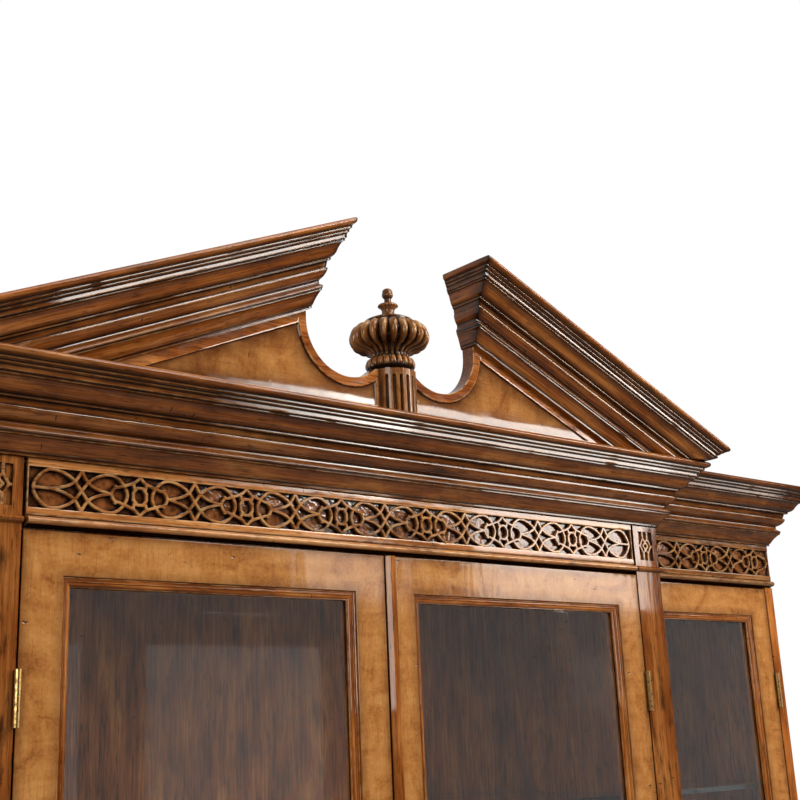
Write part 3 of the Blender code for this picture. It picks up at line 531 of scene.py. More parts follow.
class Shell:
    """Points, faces and finish marks of one piece while it is made, with marks for each corner of a face:
    grain, rubbing with painted highlights, and glazing with painted shade.
    """

    def __init__(self):
        self.points = []
        self.faces = []
        self.grain = []
        self.wear_and_highlight = []
        self.glaze_and_shade = []
        self.coats = []

    def place(self, point):
        self.points.append(Vector(point))
        return len(self.points) - 1

    def face(self, corners, grain, wear_and_highlight=0.0, glaze_and_shade=0.0, coat=0):
        """Add a face. Marks are one value, or one for each corner."""
        count = len(corners)
        self.faces.append(corners)
        self.grain += grain
        self.wear_and_highlight += [wear_and_highlight] * count if isinstance(wear_and_highlight, float) else wear_and_highlight
        self.glaze_and_shade += [glaze_and_shade] * count if isinstance(glaze_and_shade, float) else glaze_and_shade
        self.coats.append(coat)


def store_marks(mesh, grain, wear_and_highlight, glaze_and_shade):
    """Keep the finish marks on a mesh's face corners: grain, rubbing with painted highlights, and glazing
    with painted shade.
    """
    layer = mesh.attributes.new("grain", "FLOAT_VECTOR", "CORNER")
    layer.data.foreach_set("vector", [value for corner in grain for value in corner])
    for name, values in (("wear_and_highlight", wear_and_highlight), ("glaze_and_shade", glaze_and_shade)):
        layer = mesh.attributes.new(name, "FLOAT", "CORNER")
        layer.data.foreach_set("value", values)


def make_mesh(name, shell, cut_level=None):
    """Mesh of a shell, facing outwards, cut off below a level where one is given."""
    mesh = bpy.data.meshes.new(name)
    mesh.from_pydata(shell.points, [], shell.faces)
    store_marks(mesh, shell.grain, shell.wear_and_highlight, shell.glaze_and_shade)
    mesh.polygons.foreach_set("material_index", shell.coats)
    shape = bmesh.new()
    shape.from_mesh(mesh)
    if cut_level is not None:
        everything = shape.verts[:] + shape.edges[:] + shape.faces[:]
        bmesh.ops.bisect_plane(shape, geom=everything, plane_co=(0, 0, cut_level), plane_no=(0, 0, 1),
                               clear_inner=True)
        bmesh.ops.holes_fill(shape, edges=[edge for edge in shape.edges if edge.is_boundary])
    bmesh.ops.recalc_face_normals(shape, faces=shape.faces)
    shape.to_mesh(mesh)
    shape.free()
    return mesh


def make_piece(name, form, materials, body, nodes):
    """A finished piece, from a shell or a mesh, that rides on a body and stands for CAD nodes."""
    mesh = make_mesh(name, form) if isinstance(form, Shell) else form
    for material in materials:
        mesh.materials.append(finish[material])
    mesh.polygons.foreach_set("use_smooth", [True] * len(mesh.polygons))
    mesh.set_sharp_from_angle(angle=SMOOTH_ANGLE)
    piece = bpy.data.objects.new(name, mesh)
    bpy.context.collection.objects.link(piece)
    weighted = piece.modifiers.new("even_shading", "WEIGHTED_NORMAL")
    weighted.keep_sharp = True
    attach(piece, body)
    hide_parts(*nodes)


# Outlines

def traced(corners, steps=8):
    """Points along an outline as (x, y, is a corner). A corner's third value bows the stretch before it."""
    points = [(*corners[0][:2], True)]
    for (x0, y0, _), (x1, y1, bow) in zip(corners, corners[1:]):
        if bow:
            for step in range(1, steps):
                share = step / steps
                swell = 4 * bow * share * (1 - share)
                x = x0 + (x1 - x0) * share + (y1 - y0) * swell
                y = y0 + (y1 - y0) * share - (x1 - x0) * swell
                points.append((x, y, False))
        points.append((x1, y1, True))
    return points


def limited(value, low=0.0, high=1.0):
    """A value kept between two limits."""
    return max(low, min(high, value))


def softened(points, radius=ROUNDING):
    """Round an outline's corners. Gives (x, y, edge).

    edge is above 0 on outer corners and below 0 in inner ones."""
    soft = [(*points[0][:2], 0.0)]
    for before, here, after in zip(points, points[1:], points[2:]):
        middle = Vector(here[:2])
        arriving = middle - Vector(before[:2])
        leaving = Vector(after[:2]) - middle
        turn = math.atan2(arriving.cross(leaving), arriving.dot(leaving))
        if abs(turn) < SHALLOW_TURN:
            soft.append((middle.x, middle.y, 0.0))
            continue
        cut = min(radius, LONGEST_CUT * arriving.length, LONGEST_CUT * leaving.length)
        start = middle - arriving.normalized() * cut
        end = middle + leaving.normalized() * cut
        crest = (start + 2 * middle + end) / 4
        edge = limited(turn / FULL_TURN, -1.0)
        flank = edge * FLANK_SHARE
        soft += [(start.x, start.y, flank), (crest.x, crest.y, edge), (end.x, end.y, flank)]
    soft.append((*points[-1][:2], 0.0))
    return soft


def spaced(points, step):
    """Places along an outline, no further apart than a step."""
    fine = []
    for start, end in zip(points, points[1:]):
        count = max(1, math.ceil(math.dist(start[:2], end[:2]) / step))
        fine += [Vector(start[:2]).lerp(Vector(end[:2]), index / count) for index in range(count)]
    return fine + [Vector(points[-1][:2])]


def aged(points, step=0.0014, wear_reach=0.0016, glaze_and_shade_reach=0.0022, shade_fade_reach=0.0075):
    """A softened outline with marks of age and painted shade, as (x, y, wear_and_highlight, glaze_and_shade).

    It is rubbed near outer corners. Near inner ones it is dark with glazing and painted shade: a dark core
    line, then painted shade that fades out as far as shade_fade_reach."""
    corners = [(Vector((x, y)), edge) for x, y, edge in points if abs(edge) > 0.3]
    section = []
    for place in spaced(points, step):
        wear_and_highlight = glaze_and_shade = 0.0
        for corner, edge in corners:
            away = (place - corner).length
            if edge > 0:
                wear_and_highlight = max(wear_and_highlight, edge * (1 - away / wear_reach))
            else:
                # Inner corners: a dark core of glazing and painted shade, then painted shade under the
                # overhang fading out.
                core = min(1.0, GLAZE_AND_SHADE_CORE * (1 - away / glaze_and_shade_reach))
                fade = SHADE_FADE_SHARE * max(0.0, 1 - away / shade_fade_reach)
                glaze_and_shade = max(glaze_and_shade, -edge * core, -edge * fade)
        section.append((place.x, place.y, wear_and_highlight, glaze_and_shade))
    return section


def normals(points, closed):
    """Outward directions of an outline that runs with its outside on the right."""
    last = len(points) - 1
    found = []
    for index in range(len(points)):
        before = points[index - 1] if index > 0 or closed else points[0]
        after = points[(index + 1) % len(points)] if index < last or closed else points[last]
        along = Vector((after[0] - before[0], after[1] - before[1]))
        along.normalize()
        found.append(Vector((along.y, -along.x)))
    return found


def running_length(points):
    """Distance along an outline at each of its points."""
    total = 0.0
    lengths = [0.0]
    for before, after in zip(points, points[1:]):
        total += math.dist(before[:2], after[:2])
        lengths.append(total)
    return lengths


def inset(loop, margin):
    """A closed outline of (x, z) drawn inwards; it runs anticlockwise."""
    drawn = []
    count = len(loop)
    for index, here in enumerate(loop):
        before = Vector(loop[index - 1])
        after = Vector(loop[(index + 1) % count])
        arriving = (Vector(here) - before).normalized()
        leaving = (after - Vector(here)).normalized()
        inward = Vector((-arriving.y, arriving.x)) + Vector((-leaving.y, leaving.x))
        scale = margin / max(0.3, inward.length_squared / 2)
        drawn.append((here[0] + inward.x * scale, here[1] + inward.y * scale))
    return drawn


def arc(x, z, radius, start, end, steps):
    """Points along part of a circle."""
    turns = [start + (end - start) * step / steps for step in range(steps + 1)]
    return [(x + radius * math.cos(turn), z + radius * math.sin(turn)) for turn in turns]


# Mouldings

def nick(place, wear_and_highlight):
    """How far an outer edge is rubbed or knocked back at a place."""
    if wear_and_highlight <= 0:
        return 0.0
    chips = max(0.0, noise.noise(place * NICK_PITCH) - NICK_RARITY)
    rubbing = 0.5 + 0.5 * noise.noise(place * RUB_PITCH)
    return wear_and_highlight * (chips * NICK_DEPTH + rubbing * RUB_DEPTH)


def span_shares(length, step):
    """Shares along a run where its rows lie, closer at both ends for the mitres."""
    count = max(2, round(length / step))
    shares = [index / count for index in range(count)]
    close = MITRE_ROW / length
    if close < 0.5 / count:
        shares = [0.0, close, *shares[1:], 1 - close]
    return shares


def sweep(shell, rows, section, along, seed):
    """Skin rows of (point, wear, glaze) round a closed section. along gives the direction of each span."""
    around = running_length(section)
    count = len(section)
    grid = [[(shell.place(point), wear_and_highlight, glaze_and_shade) for point, wear_and_highlight, glaze_and_shade in row] for row in rows]
    for (low, high), direction in zip(zip(grid, grid[1:]), along):
        for index in range(count):
            after = (index + 1) % count
            corners = [low[index], low[after], high[after], high[index]]
            reach = around[after] if after else around[index] + 0.001
            spots_around = (around[index], reach, reach, around[index])
            grain = [(shell.points[corner[0]].dot(direction), place, seed)
                     for corner, place in zip(corners, spots_around)]
            shell.face([corner[0] for corner in corners], grain, [corner[1] for corner in corners],
                       [corner[2] for corner in corners])
    for row in (grid[0], grid[-1]):
        corners = [corner[0] for corner in row]
        grain = [(seed, shell.points[corner].y, shell.points[corner].z) for corner in corners]
        shell.face(corners, grain, 0.0, 0.3)


def run_moulding(shell, section, stations, seed, stain=0.0, joined=(False, False)):
    """A moulding carried through mitred stations, each of which maps (reach, rise) to a point.

    stain darkens it all. joined says which of its two ends meet another moulding and are dark there."""
    outward = normals(section, True)
    rows = []
    along = []
    last = len(stations) - 1
    for number, (start, end) in enumerate(zip(stations, stations[1:])):
        ends = (start(0.0, 0.0), end(0.0, 0.0))
        length = (ends[1] - ends[0]).length
        direction = (ends[1] - ends[0]).normalized()
        for share in span_shares(length, ROW_STEP) + ([1.0] if number == last - 1 else []):
            from_start = share if number > 0 or joined[0] else 1.0
            from_end = 1 - share if number < last - 1 or joined[1] else 1.0
            from_mitre = min(from_start, from_end) * length
            corner_dark = MITRE_GLAZE * max(0.0, 1 - from_mitre / MITRE_FADE)
            row = []
            for (reach, rise, wear_and_highlight, glaze_and_shade), normal in zip(section, outward):
                place = start(reach, rise).lerp(end(reach, rise), share)
                if share == 0.0 and number > 0:
                    place = start(reach - ARRIS, rise)
                elif share < 1.0:
                    back = nick(place, wear_and_highlight)
                    reach_in, rise_in = reach - normal.x * back, rise - normal.y * back
                    place = start(reach_in, rise_in).lerp(end(reach_in, rise_in), share)
                row.append((place, wear_and_highlight, max(glaze_and_shade, stain, corner_dark)))
            rows.append(row)
            along.append(direction)
    sweep(shell, rows, section, along, seed)


def crown_front(height, shade_fade_reach):
    """Front of the crown moulding in metres. Its inner corners darken it with glazing and painted shade as
    far as shade_fade_reach.
    """
    scale = height / CROWN_HEIGHT
    points = [(x * MM, y * MM * scale, corner) for x, y, corner in traced(CROWN_CORNERS)]
    nose = CROWN_CORNERS[-4][1] * MM * scale
    section = aged(softened(points, CROWN_ROUNDING), FINE_STEP, CROWN_WEAR, shade_fade_reach=shade_fade_reach)
    return [(reach, rise, wear_and_highlight, max(glaze_and_shade, NOSE_STAIN) if rise > nose else glaze_and_shade)
            for reach, rise, wear_and_highlight, glaze_and_shade in section]


def make_cornices():
    """Level cornice in three mitred lengths."""
    front = crown_front(CROWN_HEIGHT, CORNICE_SHADE_FADE)
    section = front + [
        (front[-1][0] - CROWN_TOP, CROWN_HEIGHT, 0.0, 0.0),
        (-CROWN_SEAT, CROWN_SEAT_RISE, 0.0, 0.0),
        (-CROWN_SEAT, 0.0, 0.0, 0.0),
    ]

    def station(x, y):
        return lambda reach, rise: Vector((x(reach), y(reach), CORNICE_BOTTOM + rise))

    shell = Shell()
    run_moulding(shell, section, [
        station(lambda d: -CENTRE_HALF - d, lambda d: WING_Y - d - FIT),
        station(lambda d: -CENTRE_HALF - d, lambda d: FACE_Y - d),
        station(lambda d: CENTRE_HALF + d, lambda d: FACE_Y - d),
        station(lambda d: CENTRE_HALF + d, lambda d: WING_Y - d - FIT),
    ], 0.4, CORNICE_STAIN, (True, True))
    make_piece("crown_centre", shell, ["walnut"], "case", ["cornice_centre"])
    for word, side in SIDES:
        shell = Shell()
        run_moulding(shell, section, [
            station(lambda d: side * (CENTRE_HALF + d + FIT), lambda d: WING_Y - d),
            station(lambda d: side * (CASE_HALF + d), lambda d: WING_Y - d),
            station(lambda d: side * (CASE_HALF + d), lambda d: BACK_Y),
        ], 1.7 + side, WING_STAIN, (True, False))
        make_piece(f"crown_wing_{word}", shell, ["walnut"], "case", [f"cornice_wing_{word}"])


def rake_level(x, rise):
    """Height of a line of the raking cornice at a distance from the centre line."""
    return RAKE_FOOT + rise / math.cos(PEDIMENT_SLOPE) - math.tan(PEDIMENT_SLOPE) * (x - OPENING_HALF)


def make_rakes():
    """Tilted crown mouldings with returns, cut off level on the cornice."""
    front = crown_front(RAKE_HEIGHT, RAKE_SHADE_FADE)
    section = [(0.0, 0.0, 0.0, 0.0)]
    section += [(reach + RAKE_EXTRA, rise, wear_and_highlight, glaze_and_shade) for reach, rise, wear_and_highlight, glaze_and_shade in front[1:]]
    section.append((0.0, RAKE_HEIGHT, 0.0, 0.0))
    back = TYMPANUM_Y + TYMPANUM_BOARD

    def outer(d):
        return CENTRE_HALF + d + FIT

    def inner(d):
        return OPENING_HALF - RETURN_SHARE * d - FIT

    def front_y(d):
        return TYMPANUM_Y - d - FIT

    for word, side in SIDES:
        def station(x, y):
            return lambda reach, rise: Vector((side * x(reach), y(reach), rake_level(x(reach), rise)))

        shell = Shell()
        run_moulding(shell, section, [
            station(outer, lambda d: back),
            station(outer, front_y),
            station(inner, front_y),
            station(inner, lambda d: back),
        ], 4.1 + side)
        mesh = make_mesh(f"rake_{word}", shell, CORNICE_TOP + FIT)
        make_piece(f"rake_{word}", mesh, ["walnut"], "case", [f"raking_cornice_{word}"])


make_cornices()
make_rakes()


# Pediment board

def edge_distance(point, loop):
    """Distance from a point to a closed outline."""
    nearest = 1.0
    for start, end in zip(loop, loop[1:] + loop[:1]):
        share = limited(geometry.intersect_point_line(point, start, end)[1])
        foot = Vector(start).lerp(Vector(end), share)
        nearest = min(nearest, (foot - point).length)
    return nearest


def filled(loop, step):
    """Triangles inside a closed outline, with points on a grid inside it. Gives points and faces."""
    points = [Vector(point) for point in loop]
    count = len(points)
    low = [min(point[axis] for point in loop) for axis in (0, 1)]
    high = [max(point[axis] for point in loop) for axis in (0, 1)]
    x = low[0] + step
    while x < high[0]:
        z = low[1] + step
        while z < high[1]:
            place = Vector((x, z))
            if edge_distance(place, loop) > step * 0.4:
                points.append(place)
            z += step
        x += step
    edges = [(index, (index + 1) % count) for index in range(count)]
    found, _, faces, *_ = geometry.delaunay_2d_cdt(points, edges, [], 1, 1e-6)
    return found, faces


def flat_face(shell, loops, y, glaze_and_shade=0.0, coat=0):
    """A flat upright face bounded by an outline and its holes."""
    corners = [point for loop in loops for point in loop]
    indices = [shell.place((x, y, z)) for x, z in corners]
    for triangle in geometry.tessellate_polygon([[Vector((x, z, 0)) for x, z in loop] for loop in loops]):
        grain = [(corners[index][0], corners[index][1], y) for index in triangle]
        shell.face([indices[index] for index in triangle], grain, 0.0, glaze_and_shade, coat)


def wall(shell, rings, wear_and_highlight, glaze_and_shade, coat=0):
    """Faces between rings of points, one for each (outline, y)."""
    placed = [[shell.place((x, y, z)) for x, z in loop] for loop, y in rings]
    for (low, high), rubbed, dark in zip(zip(placed, placed[1:]), wear_and_highlight, glaze_and_shade):
        count = len(low)
        for index in range(count):
            after = (index + 1) % count
            corners = [low[index], low[after], high[after], high[index]]
            grain = [tuple(shell.points[corner].xzy) for corner in corners]
            shell.face(corners, grain, rubbed, dark, coat)


def panel_outline(side):
    """Outline of a sunk panel, anticlockwise seen from the front."""
    bottom = CORNICE_TOP + PANEL_BORDER
    inner = OPENING_HALF + PANEL_BORDER
    inner_top = rake_level(inner, 0) - PANEL_BORDER / math.cos(PEDIMENT_SLOPE)
    tip = inner + (inner_top - bottom) / math.tan(PEDIMENT_SLOPE)
    radius = SCOOP_RADIUS + PANEL_BORDER
    end = -math.acos((PANEL_INNER - SCOOP_X) / radius)
    loop = [(PANEL_INNER, bottom), (tip, bottom), (inner, inner_top)]
    loop += arc(SCOOP_X, SCOOP_Z, radius, 0, end, 30)
    return loop if side > 0 else [(-x, z) for x, z in reversed(loop)]


def make_pediment():
    """Pediment board with scooped cut-outs and two sunk panels."""
    neck = math.asin((PEDESTAL_TOP - SCOOP_Z) / -SCOOP_RADIUS) - math.pi
    right = [
        (CENTRE_HALF, CORNICE_TOP + FIT),
        (CENTRE_HALF, rake_level(CENTRE_HALF, RAKE_HEIGHT) - TYMPANUM_SHY),
        (OPENING_HALF, rake_level(OPENING_HALF, RAKE_HEIGHT) - TYMPANUM_SHY),
    ]
    right += arc(SCOOP_X, SCOOP_Z, SCOOP_RADIUS, 0, neck, 40)
    outline = right + [(-x, z) for x, z in reversed(right)]
    panels = [panel_outline(side) for _, side in SIDES]
    soft = BOARD_ROUNDING
    back = TYMPANUM_Y + TYMPANUM_BOARD
    ground = TYMPANUM_Y + PANEL_SINK
    shell = Shell()
    brim = inset(outline, soft)
    lips = [inset(panel, -LIP_CHAMFER) for panel in panels]
    rims = [inset(panel, -LIP_CHAMFER - LIP_WIDTH) for panel in panels]
    flat_face(shell, [brim, *rims], TYMPANUM_Y, 0.1, 1)
    edges = [(brim, TYMPANUM_Y), (outline, TYMPANUM_Y + soft), (outline, back)]
    # Painted highlight with rubbing on the board's front edge; painted shade on its cut edge.
    wall(shell, edges, (1.0, 0.0), (0.0, 0.25), 1)
    flat_face(shell, [outline], back, 0.0, 1)
    for panel, lip, rim in zip(panels, lips, rims):
        floor = inset(panel, soft)
        edges = [(rim, TYMPANUM_Y), (lip, TYMPANUM_Y - LIP_RISE), (panel, TYMPANUM_Y + soft),
                 (panel, ground - soft), (floor, ground)]
        # Panel edge: painted highlight with rubbing on the lip; painted shade down its walls into the sunk
        # panel.
        wall(shell, edges, (0.3, 1.0, 0.0, 0.0), (0.0, 0.0, 0.6, 0.95), 1)
        points, faces = filled(floor, PANEL_GRID)
        indices = [shell.place((x, ground, z)) for x, z in points]
        near = [1 - limited(edge_distance(point, floor) / PANEL_FADE) for point in points]
        dark = [PANEL_GLAZE * share ** 2 for share in near]
        for face in faces:
            grain = [(points[index].x, points[index].y, 0.3) for index in face]
            shell.face([indices[index] for index in face], grain, 0.0, [dark[index] for index in face])
    make_piece("pediment_board", shell, ["burl_panel", "walnut"], "case", ["tympanum"])


make_pediment()


# Finial

def turned(shell, section, sides, place, seed, shaped=None):
    """A turned form. place maps (across, across, height) to a point.

    shaped gives (sink, wear, glaze) for a point's number in the section, radius, height and angle."""
    rows = []
    ring = [2 * math.pi * index / sides for index in range(sides)]
    outward = normals(section, False)
    for number, ((radius, height, wear_and_highlight, glaze_and_shade), normal) in enumerate(zip(section, outward)):
        row = []
        for turn in ring:
            sink, rubbed, dark = shaped(number, radius, height, turn) if shaped else (0.0, 0.0, 0.0)
            reach = radius - normal.x * sink
            point = place(reach * math.cos(turn), reach * math.sin(turn), height - normal.y * sink)
            row.append((point, max(wear_and_highlight, rubbed), max(glaze_and_shade, dark)))
        rows.append(row)
    girth = [(math.cos(turn) * GRAIN_RADIUS, math.sin(turn) * GRAIN_RADIUS) for turn in ring]
    direction = (place(0, 0, 1) - place(0, 0, 0)).normalized()
    sweep(shell, rows, girth, [direction] * len(rows), seed)


def rounded_lobe(across, from_end):
    """Height of a rounded reed, from 0 in its valley to 1 on its crest. from_end is in half widths."""
    short = max(0.0, 1.0 - from_end)
    return math.sqrt(max(0.0, 1.0 - across ** 2 - short ** 2))


FINIAL_CORNERS = (
    (27.5, 0.0, 0),
    (27.5, 3.0, 0),
    (35.0, 12.0, 0.2),
    (26.5, 21.5, 0.2),
    (26.0, 26.5, 0),
    (39.0, 33.7, -0.12),
    (56.4, 52.6, 0.22),
    (40.0, 71.4, 0.18),
    (34.8, 73.0, 0),
    (34.8, 76.2, 0),
    (11.0, 84.6, 0.05),
    (8.9, 88.5, -0.08),
    (9.0, 93.0, 0),
    (14.4, 98.8, -0.1),
    (12.5, 102.2, 0.2),
    (5.5, 104.2, 0),
    (4.9, 106.0, 0),
    (4.9, 111.0, 0),
    (7.4, 118.8, 0.2),
    (0.8, 126.3, 0.25),
)


def make_finial():
    """Gadrooned urn with a ball tip."""
    corners = traced(FINIAL_CORNERS, 14)
    section = aged(softened([(x * MM, z * MM, corner) for x, z, corner in corners]), FINE_STEP)
    lengths = running_length(section)
    lobe_start, lobe_end = 0.0225, 0.0720
    foot_start, foot_end = 0.0035, 0.0215
    waist, swell = 0.036, 0.030
    head, head_reach = 0.064, 0.011
    slim_radius, slim_span = 0.022, 0.020
    last_lobe = max(length for length, point in zip(lengths, section) if point[1] < lobe_end)
    foot = PEDESTAL_TOP + FIT
    axis_y = TYMPANUM_Y + TYMPANUM_BOARD / 2

    def place(x, y, height):
        return Vector((x, axis_y + y, foot + height))

    def shaped(number, radius, height, turn):
        across = 2 * ((turn * LOBES / (2 * math.pi)) % 1.0) - 1
        half_width = math.pi * radius / LOBES
        if lobe_start < height < lobe_end:
            width = 0.64 + 0.31 * limited((height - waist) / swell)
            crest = rounded_lobe(across / width, (last_lobe - lengths[number]) / half_width)
            depth = LOBE_DEPTH * limited((radius - slim_radius) / slim_span, 0.3)
        elif foot_start < height < foot_end:
            crest = rounded_lobe(across / 0.93, 1.0)
            depth = LOBE_DEPTH * 0.45 * limited((height - foot_start) / 0.006)
        else:
            return 0.0, 0.25 if height > lobe_end else 0.0, 0.0
        # Painted shade at the bottom of the foot, round the waist under the swell and in the valleys between
        # lobes; a painted highlight with rubbing on the lobes' heads.
        below = max(0.0, (0.0115 - height) / 0.005, 0.55 - abs(height - waist) / 0.022)
        head_wear_and_highlight = max(0.0, 1 - abs(height - head) / head_reach) * crest
        worn_crest = max(0.0, crest - 0.82) * 4
        return depth * (1 - crest), max(worn_crest, head_wear_and_highlight), limited(max(1.35 - crest * 2.2, below))

    shell = Shell()
    turned(shell, section, LOBES * 16, place, 6.3, shaped)
    make_piece("finial_urn", shell, ["fret"], "case", ["finial"])


def make_column():
    """Bow-fronted plinth of the finial, with stopped flutes."""
    bow_radius = (BOW_HALF ** 2 + BOW_DEPTH ** 2) / (2 * BOW_DEPTH)
    half_angle = math.asin(BOW_HALF / bow_radius)
    centre_y = TYMPANUM_Y - FIT - BOW_DEPTH + bow_radius
    low, high = CORNICE_TOP + FIT, PEDESTAL_TOP
    flute_top = high - FLUTE_STOP
    flute_span = 2 * half_angle * FLUTED_SHARE / FLUTES
    half_flute = flute_span * bow_radius / 2
    columns = 120
    count = 60
    rows = []
    for step in range(count + 1):
        z = low + (high - low) * step / count
        row = []
        for column in range(columns + 1):
            turn = half_angle * (2 * column / columns - 1)
            flute = turn / flute_span + FLUTES / 2
            depth = 0.0
            if 0 < flute < FLUTES:
                across = (2 * (flute % 1.0) - 1) / FLUTE_SHARE
                from_end = (flute_top - z) / (half_flute * FLUTE_SHARE)
                depth = rounded_lobe(across, from_end) if abs(across) < 1 and from_end > 0 else 0.0
            radius = bow_radius - FLUTE_DEPTH * depth
            point = Vector((radius * math.sin(turn), centre_y - radius * math.cos(turn), z))
            # Painted shade in the flutes and on both flanks where the bow turns away; the ribs are rubbed
            # lighter, less so towards the flanks.
            flank = limited((abs(turn) / half_angle - 0.80) * 6)
            row.append((point, 0.0 if depth else 0.35 - 0.35 * flank, max(depth * 0.9, 0.6 * flank)))
        rows.append(row)
    shell = Shell()
    section = [(point.x, point.y) for point, _, _ in rows[0]]
    sweep(shell, rows, section, [Vector((0, 0, 1))] * count, 7.7)
    make_piece("finial_column", shell, ["column"], "case", ["finial_plinth"])


make_finial()
make_column()


# Fretwork

def curved(points, steps=5):
    """A smooth line through points, in metres."""
    drawn = [Vector(point) * MM for point in points]
    line = [drawn[0]]
    padded = [2 * drawn[0] - drawn[1], *drawn, 2 * drawn[-1] - drawn[-2]]
    for before, start, end, after in zip(padded, padded[1:], padded[2:], padded[3:]):
        slope = end - before
        bend = 2 * before - 5 * start + 4 * end - after
        twist = 3 * start - before - 3 * end + after
        for step in range(1, steps + 1):
            t = step / steps
            line.append(0.5 * (2 * start + slope * t + bend * t * t + twist * t ** 3))
    return line


LOOP = curved(((0, 0), (4, 5.2), (7.9, 10), (14.5, 15.6), (25, 20.3), (34, 22), (41.5, 21.2), (48.5, 17.2),
               (54, 11.3), (57.6, 5), (58.6, 0)))
LEAF = curved(((0, 23.6), (3.5, 17), (8.3, 10.6), (14.5, 6.2), (22.4, 3.2), (30, 1.4), (36, 0)))
BRACE = curved(((36, 0), (38.2, 1.2), (39.2, 4.0), (41.0, 6.4), (43.8, 8.7)))
BRACE += curved(((43.8, 8.7), (48, 9.0), (54, 11.3)))
KNOT = curved(((43.8, 8.7), (42.8, 10.0)))
CHEVRON = curved(((54, 11.3), (61.8, 13.7), (68.4, 16.6), (72.5, 20.3), (75, 23.6)))
BAR = curved(((68.6, 6.8), (65.8, 14.8)))
STEM = curved(((36, 0), (58.6, 0)))
RING = [Vector((75 + 9.4 * math.cos(turn), 10.8 * math.sin(turn))) * MM
        for turn in (math.pi / 8 + step * math.pi / 4 for step in range(9))]
BLOCK_LINES = (
    curved(((-5.6, 24), (-5.6, 12)), 1) + curved(((-5.6, 12), (0, 6), (6.2, 0), (0, -6), (-5.6, -12)), 1)
    + curved(((-5.6, -12), (-5.6, -24)), 1),
    curved(((-5.6, 12), (-13.2, 0), (-5.6, -12)), 1),
    curved(((-13.2, 0), (-18, 0)), 1),
)


def turned_over(line, middle, across, up):
    """A fret line moved to a middle, turned over sideways or upside down."""
    return [(middle + across * point.x, up * point.y) for point in line]


def fret_lines(first, last, crossings, medallions):
    """Lines of the fretwork between two ends, as lists of (x, height over the middle)."""
    lines = []
    for crossing in crossings:
        for across in (-1, 1):
            for up in (-1, 1):
                lines.append(turned_over(LOOP, crossing, across, up))
                lines.append(turned_over(LEAF, crossing, across, up))
    for medallion in medallions:
        for across in (-1, 1):
            crossing = medallion - across * FRET_PITCH / 2
            for up in (-1, 1):
                for line in (BRACE, KNOT, CHEVRON, BAR):
                    lines.append(turned_over(line, crossing, across, up))
        lines.append(turned_over(RING, medallion - FRET_PITCH / 2, 1, 1))
    for crossing in crossings:
        for across in (-1, 1):
            medallion = crossing + across * FRET_PITCH / 2
            if not any(abs(medallion - known) < MM for known in medallions):
                lines.append(turned_over(STEM, crossing, across, 1))
    for x in (first, last):
        lines.append([(x, -FRET_BAND / 2), (x, FRET_BAND / 2)])
    return lines


def ribbon_field(lines, low, high, cell):
    """How far each point of a grid lies inside the ribbons along the lines, in metres."""
    columns = int(round((high - low) / cell)) + 1
    levels = int(round(FRET_BAND / cell)) + 1
    xs = np.linspace(low, high, columns)
    zs = np.linspace(-FRET_BAND / 2, FRET_BAND / 2, levels)
    field = np.full((columns, levels), -1.0)
    reach = 3 * RIBBON_HALF
    for line in lines:
        for start, end in zip(line, line[1:]):
            if math.dist(start, end) < 1e-6:
                continue
            left, right = np.searchsorted(xs, (min(start[0], end[0]) - reach, max(start[0], end[0]) + reach))
            if left >= right:
                continue
            x, z = np.meshgrid(xs[left:right], zs, indexing="ij")
            run, rise = end[0] - start[0], end[1] - start[1]
            share = ((x - start[0]) * run + (z - start[1]) * rise) / (run * run + rise * rise)
            share = np.clip(share, 0, 1)
            gap = np.hypot(x - start[0] - share * run, z - start[1] - share * rise)
            field[left:right] = np.maximum(field[left:right], RIBBON_HALF - gap)
    return xs, zs, field


def outlines(xs, zs, field):
    """Closed outlines round the part of a grid that is above 0."""
    cell_x, cell_z = xs[1] - xs[0], zs[1] - zs[0]
    field = np.pad(field, 1, constant_values=-RIBBON_HALF / 2)
    xs = np.concatenate(([xs[0] - cell_x / 50], xs, [xs[-1] + cell_x / 50]))
    zs = np.concatenate(([zs[0] - cell_z / 50], zs, [zs[-1] + cell_z / 50]))
    inside = field > 0
    steps = ((0, 0), (1, 0), (1, 1), (0, 1))
    ahead = {}
    mixed_cells = np.argwhere(~((inside[:-1, :-1] == inside[1:, :-1]) & (inside[:-1, :-1] == inside[:-1, 1:])
                                & (inside[:-1, :-1] == inside[1:, 1:])))
    for column, row in mixed_cells:
        corners = [(column + dx, row + dz) for dx, dz in steps]
        entering, leaving = [], []
        for start, end in zip(corners, corners[1:] + corners[:1]):
            if inside[start] != inside[end]:
                (entering if inside[end] else leaving).append((min(start, end), max(start, end)))
        for way_in, way_out in zip(entering, leaving[-1:] + leaving[:-1] if inside[corners[0]] else leaving):
            ahead[way_out] = way_in

    def crossing(edge):
        (a, b), (c, d) = edge
        share = field[a, b] / (field[a, b] - field[c, d])
        return (xs[a] + (xs[c] - xs[a]) * share, zs[b] + (zs[d] - zs[b]) * share)

    loops = []
    while ahead:
        start, here = ahead.popitem()
        loop = [crossing(start)]
        while here != start:
            loop.append(crossing(here))
            here = ahead.pop(here)
        loops.append(loop)
    return loops


def thinned(loop):
    """A closed outline without the points that hardly bend it."""
    kept = [loop[0]]
    for here, after in zip(loop[1:], loop[2:] + loop[:1]):
        arriving = Vector(here) - Vector(kept[-1])
        leaving = Vector(after) - Vector(here)
        if leaving.length < 1e-7 or arriving.length < 0.0004:
            continue
        if arriving.length > 0.004 or abs(arriving.angle(leaving)) > math.radians(5):
            kept.append(here)
    return kept


